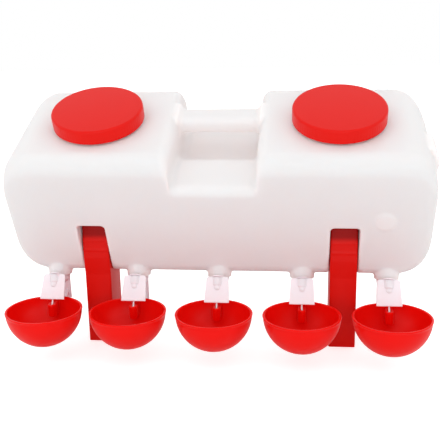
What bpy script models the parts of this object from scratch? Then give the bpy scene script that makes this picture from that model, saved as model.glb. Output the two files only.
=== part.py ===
"""Poultry drinker: a blow-moulded tank on two legs, with two screw caps and five tipping bowls.

World frame: metres, +X to the right, -Y to the front, +Z up. The origin is on the floor, under the
middle of the whole object. The tank leans forward, so it is modelled upright in its own frame
(u right, v back, w up, from the middle of its lower front edge) and carried by a tilted empty.
"""

from math import cos, pi, radians, sin, sqrt

import bmesh
import bpy
from mathutils import Matrix, Vector

# Driving dimensions, in metres and degrees.

# Tank
TANK_LENGTH = 0.452
TANK_DEPTH = 0.1575
TANK_HEIGHT = 0.1530
TANK_WALL = 0.003
TANK_TILT = 24.0
TANK_FRONT_EDGE_UP = 0.0752
TANK_FRONT_EDGE_BACK = 0.010
FRONT_TOP_RADIUS = 0.020
FRONT_BOTTOM_RADIUS = 0.018
REAR_TOP_RADIUS = 0.017
REAR_BOTTOM_RADIUS = 0.022
END_ROUND_LENGTH = 0.039
END_ROUND_TOP = 0.049
END_ROUND_BOTTOM = 0.038
END_ROUND_FRONT = 0.0145
END_ROUND_REAR = 0.055
END_ROUND_POWER = 2.3

# Hand recess across the top, and the bar over it
RECESS_WIDTH = 0.089
RECESS_FRONT_DEPTH = 0.034
RECESS_REAR_DEPTH = 0.052
RECESS_STEP_FRONT = 0.058
RECESS_STEP_REAR = 0.082
STEP_MARGIN = 0.001
RECESS_FLOOR_RADIUS = 0.007
RECESS_RIM_RADIUS = 0.011
BAR_TOP_DROP = 0.0065
BAR_THICK = 0.017
BAR_WIDTH = 0.030
BAR_BACK = 0.106
BAR_ROOT = 0.004

# Filler necks and screw caps
CAP_SPACING = 0.256
CAP_BACK = 0.078
CAP_DIAMETER = 0.098
CAP_SKIRT = 0.0150
CAP_TOP_THICK = 0.0020
CAP_WALL = 0.0022
CAP_RIM_RISE = 0.0008
CAP_RIM_WIDTH = 0.0030
CAP_RIB_DEPTH = 0.0006
NECK_WALL = 0.0030
NECK_HEIGHT = 0.0132
NECK_ROOT = 0.020
LINER_THICK = 0.0014
THREAD_PITCH = 0.006
THREAD_TURNS = 1.25
THREAD_RISE = 0.0014
THREAD_ROOT_WIDTH = 0.0022
THREAD_ROOT_DEPTH = 0.0008
THREAD_START_RISE = 0.0030
THREAD_CREST_WIDTH = 0.0010
THREAD_PLAY = 0.0007
FACE_GAP = 0.0003

# Moulded lug on the right end wall
LUG_BACK = 0.058
LUG_TOP_DROP = 0.011
LUG_WIDTH = 0.030
LUG_HEIGHT = 0.040
LUG_REACH = 0.0032
LUG_ROOT = 0.030
LUG_NOSE_DROP = 0.019
LUG_NOSE_HEIGHT = 0.005
LUG_SHOULDER_DROP = 0.010
LUG_CORNER = 0.0025
LUG_FOOT_RISE = 0.004

# Legs and the channels that hold them
LEG_SPACING = 0.270
LEG_WIDTH = 0.029
LEG_DEPTH = 0.042
LEG_WALL = 0.0026
LEG_KNEE_UP = 0.080
LEG_HEAD_UP = 0.104
LEG_HEAD_REACH = 0.003
LEG_HEAD_TALL = 0.008
LEG_TOP_UP = 0.1398
LEG_CLEARANCE = 0.001
LEG_TOP_GAP = 0.0004
TONGUE_REACH = 0.0040
TONGUE_THICK = 0.0050
TONGUE_BACK = 0.024
TONGUE_DROP = 0.046
CHANNEL_CORNER = 0.004
CHANNEL_AHEAD = 0.080
FOOT_LENGTH = 0.108
FOOT_THICK = 0.004
FOOT_RIB_THICK = 0.0026
FOOT_RIB_HEIGHT = 0.030
FOOT_RIB_END = 0.004
FOOT_RIB_END_RISE = 0.002
JOIN_DEPTH = 0.001

# Bowls
BOWL_COUNT = 5
BOWL_SPACING = 0.091
BOWL_DIAMETER = 0.080
BOWL_WALL = 0.0018
BOWL_LIP = 0.0005
BOWL_RIM_UP = 0.0565
BOWL_AHEAD = 0.0488
BOSS_RADIUS = 0.0042
BOSS_TOP_UP = 0.0526
BOSS_FOOT_UP = 0.0390

# Outlet necks under the tank
NOZZLE_BACK = 0.0130
NOZZLE_RADIUS = 0.0113
NOZZLE_BORE_RADIUS = 0.0076
NOZZLE_END_UP = 0.0765
NOZZLE_DOME_HEIGHT = 0.0165
NOZZLE_SHOULDER_UP = 0.0099
NOZZLE_BORE_LENGTH = 0.022
FLARE_REACH = 0.0075
FLARE_HEIGHT = 0.0070
FLARE_BACK = 0.0050
FLARE_DEPTH_SHARE = 0.45
NOZZLE_CLEARANCE = 0.0004

# Valve axis. It leans forward, and lengths on it run up from the front plate's lower edge.
VALVE_SLANT = 32.0
VALVE_AHEAD = 0.01935
VALVE_UP = 0.0570
CHAMBER_RADIUS = 0.0050
CHAMBER_BORE_RADIUS = 0.0031
CHAMBER_LOW = 0.0115
CHAMBER_FLOOR = 0.0020
CHAMBER_NOSE = 0.0032
CHAMBER_STEP = 0.0012
HEAD_RADIUS = 0.0057
HEAD_BORE_RADIUS = 0.0047
HEAD_LOW = 0.0185
HEAD_HIGH = 0.0268
HEAD_FLOOR = 0.0014
PLUG_RADIUS = 0.0065
PLUG_THICK = 0.0026
PLUG_SPIGOT = 0.0012
FRONT_PLATE_TOP_WIDTH = 0.0240
FRONT_PLATE_BOTTOM_WIDTH = 0.0270
FRONT_PLATE_AHEAD = 0.0032
FRONT_PLATE_LOW = -0.0010
FRONT_PLATE_HIGH = 0.0255
PLATE_THICK = 0.0018

# Valve body under the outlet neck
SPIGOT_BORE_RADIUS = 0.0045
SPIGOT_LENGTH = 0.0150
SEAL_THICK = 0.0015
FLANGE_THICK = 0.0030
FLANGE_RADIUS = 0.0105
ARM_WIDTH = 0.0100
ARM_HEIGHT = 0.0070
ARM_DROP = 0.0008
PASSAGE = 0.0032
REAR_PLATE_TOP_WIDTH = 0.0200
REAR_PLATE_BOTTOM_WIDTH = 0.0185
REAR_PLATE_TOP_BACK = 0.0000
REAR_PLATE_TOP_DROP = 0.0008
REAR_PLATE_BOTTOM_BACK = 0.0040
REAR_PLATE_BOTTOM_UP = 0.0450

# Bowl hinge, behind and below the bowl's rim
HINGE_REACH = 0.0202
EYE_RADIUS = 0.0032
EYE_WIDTH = 0.0080
EYE_ROOT = 0.0040
EAR_THICK = 0.0024
EAR_GAP = 0.0005
EAR_ROOT_HEIGHT = 0.012
PIN_RADIUS = 0.00125
PIN_CLEARANCE = 0.0003
PIN_HEAD_RADIUS = 0.0022
PIN_HEAD_THICK = 0.0012
PIN_END = 0.001

# Valve stem, washer and spring
STEM_RADIUS = 0.0009
STEM_GUIDE_CLEARANCE = 0.0005
STEM_BALL_RADIUS = 0.0016
STEM_BALL_DROP = 0.0095
STEM_COLLAR_RADIUS = 0.0020
STEM_COLLAR_THICK = 0.0009
STEM_DISC_RADIUS = 0.0042
STEM_DISC_THICK = 0.0009
SOCKET_CLEARANCE = 0.0006
WASHER_RADIUS = 0.0026
WASHER_THICK = 0.0010
WASHER_LIFT = 0.0013
SPRING_RADIUS = 0.0038
SPRING_WIRE = 0.0006
SPRING_TURNS = 2

# How far a cutting form runs past what it cuts
OVERRUN = 0.010
SMALL_OVERRUN = 0.001

# Facet counts
RING_FACETS = 32
SMALL_FACETS = 12
TINY_FACETS = 8
ARC_FACETS = 4
BOWL_FACETS = 24
BOWL_RINGS = 6

# Sizes worked out from the ones above.
TILT = radians(TANK_TILT)
CAP_RADIUS = CAP_DIAMETER / 2
CAP_INNER_RADIUS = CAP_RADIUS - CAP_RIB_DEPTH - CAP_WALL
NECK_RADIUS = CAP_INNER_RADIUS - THREAD_RISE - THREAD_PLAY
NECK_BORE_RADIUS = NECK_RADIUS - NECK_WALL
LINER_RADIUS = CAP_INNER_RADIUS - THREAD_RISE - THREAD_PLAY / 2
LINER_UP = TANK_HEIGHT + NECK_HEIGHT + FACE_GAP
CAP_CEILING_UP = LINER_UP + LINER_THICK + FACE_GAP
CAP_TOP_UP = CAP_CEILING_UP + CAP_TOP_THICK
CAP_BOTTOM_UP = CAP_TOP_UP - CAP_SKIRT
THREAD_START_UP = TANK_HEIGHT + THREAD_START_RISE
BOWL_RADIUS = BOWL_DIAMETER / 2
FRAME_X = -LUG_REACH / 2
FRAME_FRONT = -BOWL_AHEAD - BOWL_RADIUS - BOWL_LIP
FRAME_BACK = (TANK_FRONT_EDGE_BACK + (TANK_DEPTH - REAR_BOTTOM_RADIUS) * cos(TILT)
              - REAR_BOTTOM_RADIUS * sin(TILT) + REAR_BOTTOM_RADIUS)
LEG_FRONT = -(FRAME_FRONT + FRAME_BACK) / 2
TANK_EDGE_Y = LEG_FRONT + TANK_FRONT_EDGE_BACK
BOWL_Y = LEG_FRONT - BOWL_AHEAD
NOZZLE_Y = LEG_FRONT + NOZZLE_BACK
SLANT = radians(VALVE_SLANT)
VALVE_Y = LEG_FRONT - VALVE_AHEAD
BALL_Y = VALVE_Y - STEM_BALL_DROP * sin(SLANT)
BALL_UP = VALVE_UP - STEM_BALL_DROP * cos(SLANT)
HINGE_Y = BALL_Y + HINGE_REACH * cos(SLANT)
HINGE_UP = BALL_UP - HINGE_REACH * sin(SLANT)
FLANGE_TOP_UP = NOZZLE_END_UP - SEAL_THICK - 2 * FACE_GAP
FLANGE_BOTTOM_UP = FLANGE_TOP_UP - FLANGE_THICK
SPIGOT_RADIUS = NOZZLE_BORE_RADIUS - NOZZLE_CLEARANCE
ARM_TOP_UP = FLANGE_TOP_UP - ARM_DROP
ARM_BOTTOM_UP = ARM_TOP_UP - ARM_HEIGHT
PASSAGE_UP = (ARM_TOP_UP + ARM_BOTTOM_UP) / 2
SEAT = CHAMBER_LOW + CHAMBER_FLOOR
WASHER_LOW = SEAT + WASHER_LIFT
COLLAR_LOW = WASHER_LOW + WASHER_THICK + FACE_GAP
SPRING_FLOOR = HEAD_LOW + HEAD_FLOOR
DISC_TOP = HEAD_HIGH - PLUG_SPIGOT - 2 * FACE_GAP
DISC_LOW = DISC_TOP - STEM_DISC_THICK
SWAP_YZ = Matrix(((1, 0, 0, 0), (0, 0, 1, 0), (0, 1, 0, 0), (0, 0, 0, 1)))


# Colours and finishes
FINISHES = {
    "tank": ((0.86, 0.80, 0.79), 0.45, 0.0),
    "red": ((0.72, 0.012, 0.010), 0.30, 0.0),
    "valve": ((0.88, 0.80, 0.84), 0.35, 0.0),
    "rubber": ((0.06, 0.06, 0.065), 0.70, 0.0),
    "steel": ((0.62, 0.62, 0.64), 0.30, 1.0),
}


def clear_scene():
    """Remove whatever the file opened with."""
    for obj in list(bpy.data.objects):
        bpy.data.objects.remove(obj, do_unlink=True)


def make_material(name, finish):
    """A Principled material with one of the finishes."""
    colour, roughness, metallic = FINISHES[finish]
    material = bpy.data.materials.new(name)
    material.use_nodes = True
    shader = material.node_tree.nodes["Principled BSDF"]
    shader.inputs["Base Color"].default_value = (*colour, 1.0)
    shader.inputs["Roughness"].default_value = roughness
    shader.inputs["Metallic"].default_value = metallic
    return material


def mesh_from(bm, name):
    """A mesh with its faces turned outwards."""
    bmesh.ops.recalc_face_normals(bm, faces=bm.faces)
    mesh = bpy.data.meshes.new(name)
    bm.to_mesh(mesh)
    bm.free()
    return mesh


def add_object(name, mesh, finish=None, parent=None, place=(0.0, 0.0, 0.0)):
    """A named object, with its own material when it has a finish."""
    obj = bpy.data.objects.new(name, mesh)
    bpy.context.scene.collection.objects.link(obj)
    obj.location = place
    if parent is not None:
        obj.parent = parent
    if finish is not None:
        if not mesh.materials:
            mesh.materials.append(None)
        obj.material_slots[0].link = "OBJECT"
        obj.material_slots[0].material = make_material(name, finish)
        mesh.shade_smooth()
        mesh.set_sharp_from_angle(angle=radians(35))
    return obj


def add_empty(name, place, turn=0.0):
    """An empty that carries pieces, turned about X."""
    empty = bpy.data.objects.new(name, None)
    bpy.context.scene.collection.objects.link(empty)
    empty.location = place
    empty.rotation_euler = (turn, 0.0, 0.0)
    return empty


def combine(base, tools, operation):
    """The mesh of base joined with, or cut by, each tool mesh in turn."""
    body = add_object("body_guide", base)
    for tool_mesh in tools:
        tool = add_object("tool_guide", tool_mesh)
        step = body.modifiers.new("step", "BOOLEAN")
        step.operation = operation
        step.solver = "EXACT"
        step.object = tool
        bpy.context.view_layer.update()
        evaluated = body.evaluated_get(bpy.context.evaluated_depsgraph_get())
        result = bpy.data.meshes.new_from_object(evaluated)
        body.modifiers.clear()
        body.data = result
        bpy.data.objects.remove(tool, do_unlink=True)
    finished = body.data
    bpy.data.objects.remove(body, do_unlink=True)
    bm = bmesh.new()
    bm.from_mesh(finished)
    bmesh.ops.remove_doubles(bm, verts=bm.verts, dist=1e-7)
    bmesh.ops.dissolve_degenerate(bm, dist=1e-7, edges=bm.edges)
    bm.to_mesh(finished)
    bm.free()
    finished.materials.clear()
    return finished


def moved(mesh, matrix):
    """The same mesh, moved by a matrix. A matrix that mirrors also turns the faces back out."""
    mesh.transform(matrix)
    if matrix.determinant() < 0:
        mesh.flip_normals()
    return mesh


def box(low, high):
    """A box between two corners."""
    bm = bmesh.new()
    size = Vector(high) - Vector(low)
    middle = (Vector(high) + Vector(low)) / 2
    bmesh.ops.create_cube(bm, size=1.0, matrix=Matrix.Translation(middle) @ Matrix.Diagonal((*size, 1.0)))
    return mesh_from(bm, "box")


def prism(outline, low, high, axis="X"):
    """A flat outline carried along an axis; the outline holds (y, z) for X and (x, y) for Z."""
    bm = bmesh.new()
    rings = []
    for level in (low, high):
        if axis == "X":
            rings.append([bm.verts.new((level, a, b)) for a, b in outline])
        else:
            rings.append([bm.verts.new((a, b, level)) for a, b in outline])
    join_rings(bm, rings)
    bm.faces.new(rings[0])
    bm.faces.new(rings[-1])
    return mesh_from(bm, "prism")


def join_rings(bm, rings, closed=False):
    """Quads between neighbouring rings of the same length."""
    pairs = list(zip(rings, rings[1:]))
    if closed:
        pairs.append((rings[-1], rings[0]))
    for near, far in pairs:
        count = len(near)
        for i in range(count):
            j = (i + 1) % count
            bm.faces.new((near[i], near[j], far[j], far[i]))


def turned(profile, facets, axis_at=(0.0, 0.0)):
    """A closed (radius, height) profile turned about a vertical axis. Points on the axis are poles."""
    bm = bmesh.new()
    columns = []
    for radius, height in profile:
        if radius < 1e-9:
            columns.append([bm.verts.new((axis_at[0], axis_at[1], height))])
            continue
        ring = []
        for k in range(facets):
            angle = 2 * pi * k / facets
            x = axis_at[0] + radius * cos(angle)
            y = axis_at[1] + radius * sin(angle)
            ring.append(bm.verts.new((x, y, height)))
        columns.append(ring)
    for near, far in zip(columns, columns[1:] + columns[:1]):
        if len(near) == 1 and len(far) == 1:
            continue
        for k in range(facets):
            n = (k + 1) % facets
            if len(near) == 1:
                bm.faces.new((near[0], far[n], far[k]))
            elif len(far) == 1:
                bm.faces.new((near[k], near[n], far[0]))
            else:
                bm.faces.new((near[k], near[n], far[n], far[k]))
    return mesh_from(bm, "turned")


def cylinder(radius, low, high, facets, axis_at=(0.0, 0.0)):
    """A solid round bar between two heights."""
    return turned([(0.0, low), (radius, low), (radius, high), (0.0, high)], facets, axis_at)


def cross_bar(radius, left, right, y, z, facets):
    """A round bar along X."""
    bar = cylinder(radius, left, right, facets)
    return moved(bar, Matrix.Translation((0.0, y, z)) @ Matrix.Rotation(pi / 2, 4, "Y"))


def ring_profile(inner, outer, low, high):
    """The square section of a flat ring."""
    return [(inner, low), (outer, low), (outer, high), (inner, high)]


def recess_depth(v):
    """How far the hand recess lies below the shoulders, from the front to the back."""
    share = (v - RECESS_STEP_FRONT) / (RECESS_STEP_REAR - RECESS_STEP_FRONT)
    share = min(1.0, max(0.0, share))
    return RECESS_FRONT_DEPTH + (RECESS_REAR_DEPTH - RECESS_FRONT_DEPTH) * share


def tank_stations(inset):
    """Places along the tank as (u, end rounding share, recess share), left to right.

    The end rounding share goes from 0 on the body to 1 at the end wall, along a squarish quarter.
    The recess share goes from 1 on the recess floor to 0 on the shoulder, through two fillets.
    """
    half_length = TANK_LENGTH / 2 - inset
    end_length = END_ROUND_LENGTH - inset
    wall_at = RECESS_WIDTH / 2 + inset
    floor_radius = RECESS_FLOOR_RADIUS + inset
    rim_radius = RECESS_RIM_RADIUS - inset
    right = []
    for k in range(4):
        angle = pi / 2 * k / 3
        drop = floor_radius * (1 - cos(angle)) / RECESS_FRONT_DEPTH
        right.append((wall_at - floor_radius + floor_radius * sin(angle), 0.0, 1.0 - drop))
    for k in range(5):
        angle = pi / 2 * k / 4
        rise = rim_radius * (1 - sin(angle)) / RECESS_FRONT_DEPTH
        right.append((wall_at + rim_radius * (1 - cos(angle)), 0.0, rise))
    right[3] = (right[3][0] - FACE_GAP, 0.0, right[3][2])
    for k in range(ARC_FACETS + 3):
        angle = pi / 2 * k / (ARC_FACETS + 2)
        along = sin(angle) ** (2 / END_ROUND_POWER)
        across = max(0.0, cos(angle)) ** (2 / END_ROUND_POWER)
        right.append((half_length - end_length * (1 - along), 1 - across, 0.0))
    left = [(-u, end, recess) for u, end, recess in reversed(right)]
    return left + right


def tank_section(inset, end, recess):
    """One closed section of the tank in (v, w), for an end rounding share and a recess share."""
    front = inset + (END_ROUND_FRONT - inset) * end
    back = TANK_DEPTH - inset - (END_ROUND_REAR - inset) * end
    bottom = inset + (END_ROUND_BOTTOM - inset) * end
    top = TANK_HEIGHT - inset - (END_ROUND_TOP - inset) * end
    corner = {
        "front_bottom": FRONT_BOTTOM_RADIUS - inset,
        "rear_bottom": REAR_BOTTOM_RADIUS - inset,
        "rear_top": REAR_TOP_RADIUS - inset,
        "front_top": FRONT_TOP_RADIUS - inset,
    }
    top_back = top - recess_depth(back) * recess
    top_front = top - recess_depth(front) * recess
    points = []
    arcs = (("front_bottom", front, bottom, 1, 1, pi), ("rear_bottom", back, bottom, -1, 1, 1.5 * pi),
            ("rear_top", back, top_back, -1, -1, 0.0), ("front_top", front, top_front, 1, -1, 0.5 * pi))
    for name, v_side, w_side, v_sign, w_sign, start in arcs:
        radius = corner[name]
        centre = (v_side + v_sign * radius, w_side + w_sign * radius)
        for k in range(ARC_FACETS + 1):
            angle = start + pi / 2 * k / ARC_FACETS
            points.append((centre[0] + radius * cos(angle), centre[1] + radius * sin(angle)))
        if name == "rear_top":
            flat_end = back - radius - STEP_MARGIN
            for v in (min(RECESS_STEP_REAR, flat_end), min(RECESS_STEP_FRONT, flat_end - STEP_MARGIN)):
                points.append((v, top - recess_depth(v) * recess))
    return points


def tank_form(inset):
    """The closed outer form of the tank, or its inside when inset is the wall."""
    bm = bmesh.new()
    rings = []
    for u, end, recess in tank_stations(inset):
        rings.append([bm.verts.new((u, v, w)) for v, w in tank_section(inset, end, recess)])
    join_rings(bm, rings)
    bm.faces.new(rings[0])
    bm.faces.new(rings[-1])
    bmesh.ops.triangulate(bm, faces=[f for f in bm.faces if len(f.verts) == 4])
    return mesh_from(bm, "tank_form")


def bar_form(inset, reach):
    """The handle bar, a rounded flat tube along u."""
    height = BAR_THICK - 2 * inset
    width = BAR_WIDTH - 2 * inset
    radius = height / 2 * 0.9
    centre_w = TANK_HEIGHT - BAR_TOP_DROP - BAR_THICK / 2
    outline = []
    for v_sign, w_sign, start in ((1, -1, 1.5 * pi), (1, 1, 0.0), (-1, 1, 0.5 * pi), (-1, -1, pi)):
        centre = (BAR_BACK + v_sign * (width / 2 - radius), centre_w + w_sign * (height / 2 - radius))
        for k in range(ARC_FACETS):
            angle = start + pi / 2 * k / (ARC_FACETS - 1)
            outline.append((centre[0] + radius * cos(angle), centre[1] + radius * sin(angle)))
    return prism(outline, -reach, reach)


def thread(core_radius, rise, start_up, inward):
    """One helical ridge round a wall. It grows from nothing and dies away over an eighth of a turn."""
    bm = bmesh.new()
    steps = int(RING_FACETS * THREAD_TURNS)
    fade = RING_FACETS / 8
    root = THREAD_ROOT_DEPTH
    sections = []
    for k in range(steps + 1):
        angle = 2 * pi * k / RING_FACETS
        share = min(1.0, (k + 0.4) / fade, (steps - k + 0.4) / fade)
        middle = start_up + THREAD_PITCH * k / RING_FACETS
        sign = -1.0 if inward else 1.0
        crest = sign * rise * share
        corners = ((-sign * root, -THREAD_ROOT_WIDTH / 2), (-sign * root, THREAD_ROOT_WIDTH / 2),
                   (crest, THREAD_CREST_WIDTH / 2), (crest, -THREAD_CREST_WIDTH / 2))
        ring = []
        for outwards, up in corners:
            radius = core_radius + outwards
            ring.append(bm.verts.new((radius * cos(angle), radius * sin(angle), middle + up)))
        sections.append(ring)
    join_rings(bm, sections)
    bm.faces.new(sections[0])
    bm.faces.new(sections[-1])
    return mesh_from(bm, "thread")


def channel_tool(grow, tank_place):
    """The vertical slot for one leg, in the tank's frame. The front of the slot is open."""
    half = LEG_WIDTH / 2 + LEG_CLEARANCE + grow
    back = LEG_FRONT + LEG_DEPTH + LEG_CLEARANCE + grow
    top = LEG_TOP_UP + LEG_TOP_GAP + grow
    ahead = LEG_FRONT - CHANNEL_AHEAD
    slot = slot_outline(half, 0.0, top)
    slot_mesh = moved(prism(slot, ahead, back, "Z"), SWAP_YZ)
    tongue_half = half + TONGUE_REACH
    tongue_front = LEG_FRONT + TONGUE_BACK - LEG_CLEARANCE / 2 - grow
    tongue_back = LEG_FRONT + TONGUE_BACK + TONGUE_THICK + LEG_CLEARANCE / 2 + grow
    groove = box((-tongue_half, tongue_front, 0.0), (tongue_half, tongue_back, top - CHANNEL_CORNER))
    tool = combine(slot_mesh, [groove], "UNION")
    return moved(tool, tank_place.inverted())


def slot_outline(half, bottom, top):
    """The slot's front view in (x, z), with rounded upper corners."""
    outline = [(-half, bottom), (half, bottom)]
    for x_sign, start in ((1, 0.0), (-1, 0.5 * pi)):
        for k in range(4):
            angle = start + pi / 2 * k / 3
            x = x_sign * (half - CHANNEL_CORNER) + CHANNEL_CORNER * cos(angle)
            z = top - CHANNEL_CORNER + CHANNEL_CORNER * sin(angle)
            outline.append((x, z))
    return outline


def nozzle_forms():
    """One outlet neck, upright in the world: a round neck with a domed top, and a flare to each side."""
    radius = NOZZLE_RADIUS
    dome = NOZZLE_DOME_HEIGHT
    neck = [(0.0, 0.0), (radius, 0.0)]
    for k in range(3):
        angle = pi / 2 * k / 3
        neck.append((radius * cos(angle), NOZZLE_SHOULDER_UP + (dome - NOZZLE_SHOULDER_UP) * sin(angle)))
    neck.append((0.0, dome))
    flare = [(0.0, JOIN_DEPTH), (radius - JOIN_DEPTH / 2, JOIN_DEPTH)]
    for k in range(1, 5):
        angle = pi / 2 * k / 4
        flare.append((radius + FLARE_REACH * (1 - cos(angle)), JOIN_DEPTH + FLARE_HEIGHT * sin(angle)))
    flare_top = FLARE_HEIGHT + 3 * JOIN_DEPTH
    flare += [(radius + FLARE_REACH, flare_top), (0.0, flare_top)]
    squeeze = Matrix.Translation((0.0, FLARE_BACK, 0.0)) @ Matrix.Diagonal((1.0, FLARE_DEPTH_SHARE, 1.0, 1.0))
    return [turned(neck, SMALL_FACETS), moved(turned(flare, SMALL_FACETS), squeeze)]


def lug_form():
    """The moulded lug on the right end wall."""
    low_v = LUG_BACK - LUG_WIDTH / 2
    high_v = LUG_BACK + LUG_WIDTH / 2
    top = TANK_HEIGHT - LUG_TOP_DROP
    wall = TANK_LENGTH / 2
    low = top - LUG_HEIGHT
    shoulder = wall + LUG_REACH * 0.3
    outline = [(wall - LUG_ROOT, top), (wall - 1.8 * LUG_CORNER, top),
               (wall - 0.8 * LUG_CORNER, top - LUG_CORNER),
               (shoulder, top - LUG_SHOULDER_DROP), (wall + LUG_REACH, top - LUG_NOSE_DROP),
               (wall + LUG_REACH, top - LUG_NOSE_DROP - LUG_NOSE_HEIGHT), (shoulder, low + LUG_FOOT_RISE),
               (wall - JOIN_DEPTH, low), (wall - LUG_ROOT, low)]
    return moved(prism(outline, low_v, high_v, "Z"), SWAP_YZ)


def bowl_places():
    """The place of each bowl along the tank, left to right."""
    return [BOWL_SPACING * (k - (BOWL_COUNT - 1) / 2) for k in range(BOWL_COUNT)]


def make_tank(tank_frame):
    """The tank: a hollow moulding with two necks, a handle bar, two leg slots and five outlet necks."""
    tank_place = Matrix.Translation((0.0, TANK_EDGE_Y, TANK_FRONT_EDGE_UP)) @ Matrix.Rotation(TILT, 4, "X")
    into_tank = tank_place.inverted()
    bar_reach = RECESS_WIDTH / 2 + RECESS_RIM_RADIUS + BAR_ROOT

    outer_parts = [lug_form(), bar_form(0.0, bar_reach)]
    inner_parts = [bar_form(TANK_WALL, bar_reach + TANK_WALL)]
    for side in (-1, 1):
        at = (side * CAP_SPACING / 2, CAP_BACK)
        neck_top = TANK_HEIGHT + NECK_HEIGHT
        outer_parts.append(cylinder(NECK_RADIUS, TANK_HEIGHT - NECK_ROOT, neck_top, RING_FACETS, at))
        ridge = thread(NECK_RADIUS, THREAD_RISE, THREAD_START_UP, inward=False)
        outer_parts.append(moved(ridge, Matrix.Translation((at[0], at[1], 0.0))))
        bore = cylinder(NECK_BORE_RADIUS, TANK_HEIGHT - NECK_ROOT, neck_top + OVERRUN, RING_FACETS, at)
        inner_parts.append(bore)
    for x in bowl_places():
        at_nozzle = into_tank @ Matrix.Translation((x, NOZZLE_Y, NOZZLE_END_UP))
        outer_parts += [moved(form, at_nozzle) for form in nozzle_forms()]

    outer = combine(tank_form(0.0), outer_parts, "UNION")
    slots = []
    jackets = []
    for side in (-1, 1):
        shift = Matrix.Translation((side * LEG_SPACING / 2, 0.0, 0.0))
        slots.append(moved(channel_tool(0.0, tank_place), shift))
        jackets.append(moved(channel_tool(TANK_WALL, tank_place), shift))
    outer = combine(outer, slots, "DIFFERENCE")
    inner = combine(tank_form(TANK_WALL), jackets, "DIFFERENCE")
    for x in bowl_places():
        at_nozzle = into_tank @ Matrix.Translation((x, NOZZLE_Y, NOZZLE_END_UP))
        bore = cylinder(NOZZLE_BORE_RADIUS, -OVERRUN, NOZZLE_BORE_LENGTH, SMALL_FACETS)
        inner_parts.append(moved(bore, at_nozzle))
    inner = combine(inner, inner_parts, "UNION")
    shell = combine(outer, [inner], "DIFFERENCE")
    return add_object("tank_shell", shell, "tank", tank_frame)


def cap_mesh():
    """A screw cap about its own axis, with its skirt's lower edge at zero."""
    height = CAP_SKIRT
    ceiling = CAP_SKIRT - CAP_TOP_THICK
    land = CAP_RADIUS - CAP_RIM_WIDTH
    cap = turned([
        (0.0, ceiling), (CAP_INNER_RADIUS, ceiling), (CAP_INNER_RADIUS, 0.0), (CAP_RADIUS, 0.0),
        (CAP_RADIUS, height - 0.0025), (CAP_RADIUS - 0.0010, height - 0.0008), (CAP_RADIUS - 0.0018, height),
        (land, height), (land - 0.0008, height - CAP_RIM_RISE), (0.0, height - CAP_RIM_RISE)], RING_FACETS)
    start = THREAD_START_UP - CAP_BOTTOM_UP + THREAD_PITCH / 2
    ridge = thread(CAP_INNER_RADIUS, THREAD_RISE, start, inward=True)
    return combine(cap, [ridge], "UNION")


def make_caps(tank_frame):
    """Both caps and the sealing discs under them, on their thread axes."""
    shared = cap_mesh()
    liner = cylinder(LINER_RADIUS, 0.0, LINER_THICK, RING_FACETS)
    for side, name in ((-1, "left"), (1, "right")):
        at = (side * CAP_SPACING / 2, CAP_BACK)
        add_object(f"{name}_cap", shared.copy(), "red", tank_frame, (*at, CAP_BOTTOM_UP))
        add_object(f"{name}_cap_liner", liner.copy(), "rubber", tank_frame, (*at, LINER_UP))


def leg_face(up):
    """How far the leg's front face stands ahead of its lower front, at a height."""
    knee, head = LEG_KNEE_UP, LEG_HEAD_UP
    if up <= knee:
        return 0.0
    if up <= head:
        return LEG_HEAD_REACH * (up - knee) / (head - knee)
    if up <= head + LEG_HEAD_TALL:
        return LEG_HEAD_REACH
    rest = LEG_TOP_UP - head - LEG_HEAD_TALL
    return LEG_HEAD_REACH * (1 - (up - head - LEG_HEAD_TALL) / rest)


def leg_mesh():
    """A leg about the middle of its front foot line: a channel section with a foot and side tongues."""
    levels = [0.0, LEG_KNEE_UP, LEG_HEAD_UP, LEG_HEAD_UP + LEG_HEAD_TALL, LEG_TOP_UP]
    front = [(-leg_face(up), up) for up in levels]
    half = LEG_WIDTH / 2
    outline = front + [(LEG_DEPTH, LEG_TOP_UP), (LEG_DEPTH, 0.0)]
    front_view = slot_outline(half, -OVERRUN, LEG_TOP_UP)
    rounded = moved(prism(front_view, -OVERRUN, LEG_DEPTH + OVERRUN, "Z"), SWAP_YZ)
    outer = combine(prism(outline, -half, half), [rounded], "INTERSECT")
    inner_low = FOOT_THICK
    inner_levels = [inner_low] + levels[1:-1] + [LEG_TOP_UP - LEG_WALL]
    inner_front = [(LEG_WALL - leg_face(up), up) for up in inner_levels]
    past_back = LEG_DEPTH + OVERRUN
    hollow = prism(inner_front + [(past_back, LEG_TOP_UP - LEG_WALL), (past_back, inner_low)],
                   -half + LEG_WALL, half - LEG_WALL)
    foot = box((-half, LEG_DEPTH - 2 * JOIN_DEPTH, 0.0), (half, FOOT_LENGTH, FOOT_THICK))
    rib_front = LEG_WALL - JOIN_DEPTH
    rib_end = FOOT_LENGTH - FOOT_RIB_END
    rib = prism([(rib_front, JOIN_DEPTH), (rib_end, JOIN_DEPTH), (rib_end, FOOT_THICK + FOOT_RIB_END_RISE),
                 (LEG_DEPTH, FOOT_RIB_HEIGHT), (rib_front, FOOT_RIB_HEIGHT)],
                -FOOT_RIB_THICK / 2, FOOT_RIB_THICK / 2)
    tongues = []
    for side in (-1, 1):
        near = side * (half - JOIN_DEPTH)
        far = side * (half + TONGUE_REACH)
        low = (min(near, far), TONGUE_BACK, LEG_TOP_UP - TONGUE_DROP)
        high = (max(near, far), TONGUE_BACK + TONGUE_THICK, LEG_TOP_UP - CHANNEL_CORNER - LEG_WALL)
        tongues.append(box(low, high))
    hollowed = combine(outer, [hollow], "DIFFERENCE")
    return combine(hollowed, [foot, rib] + tongues, "UNION")


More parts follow.
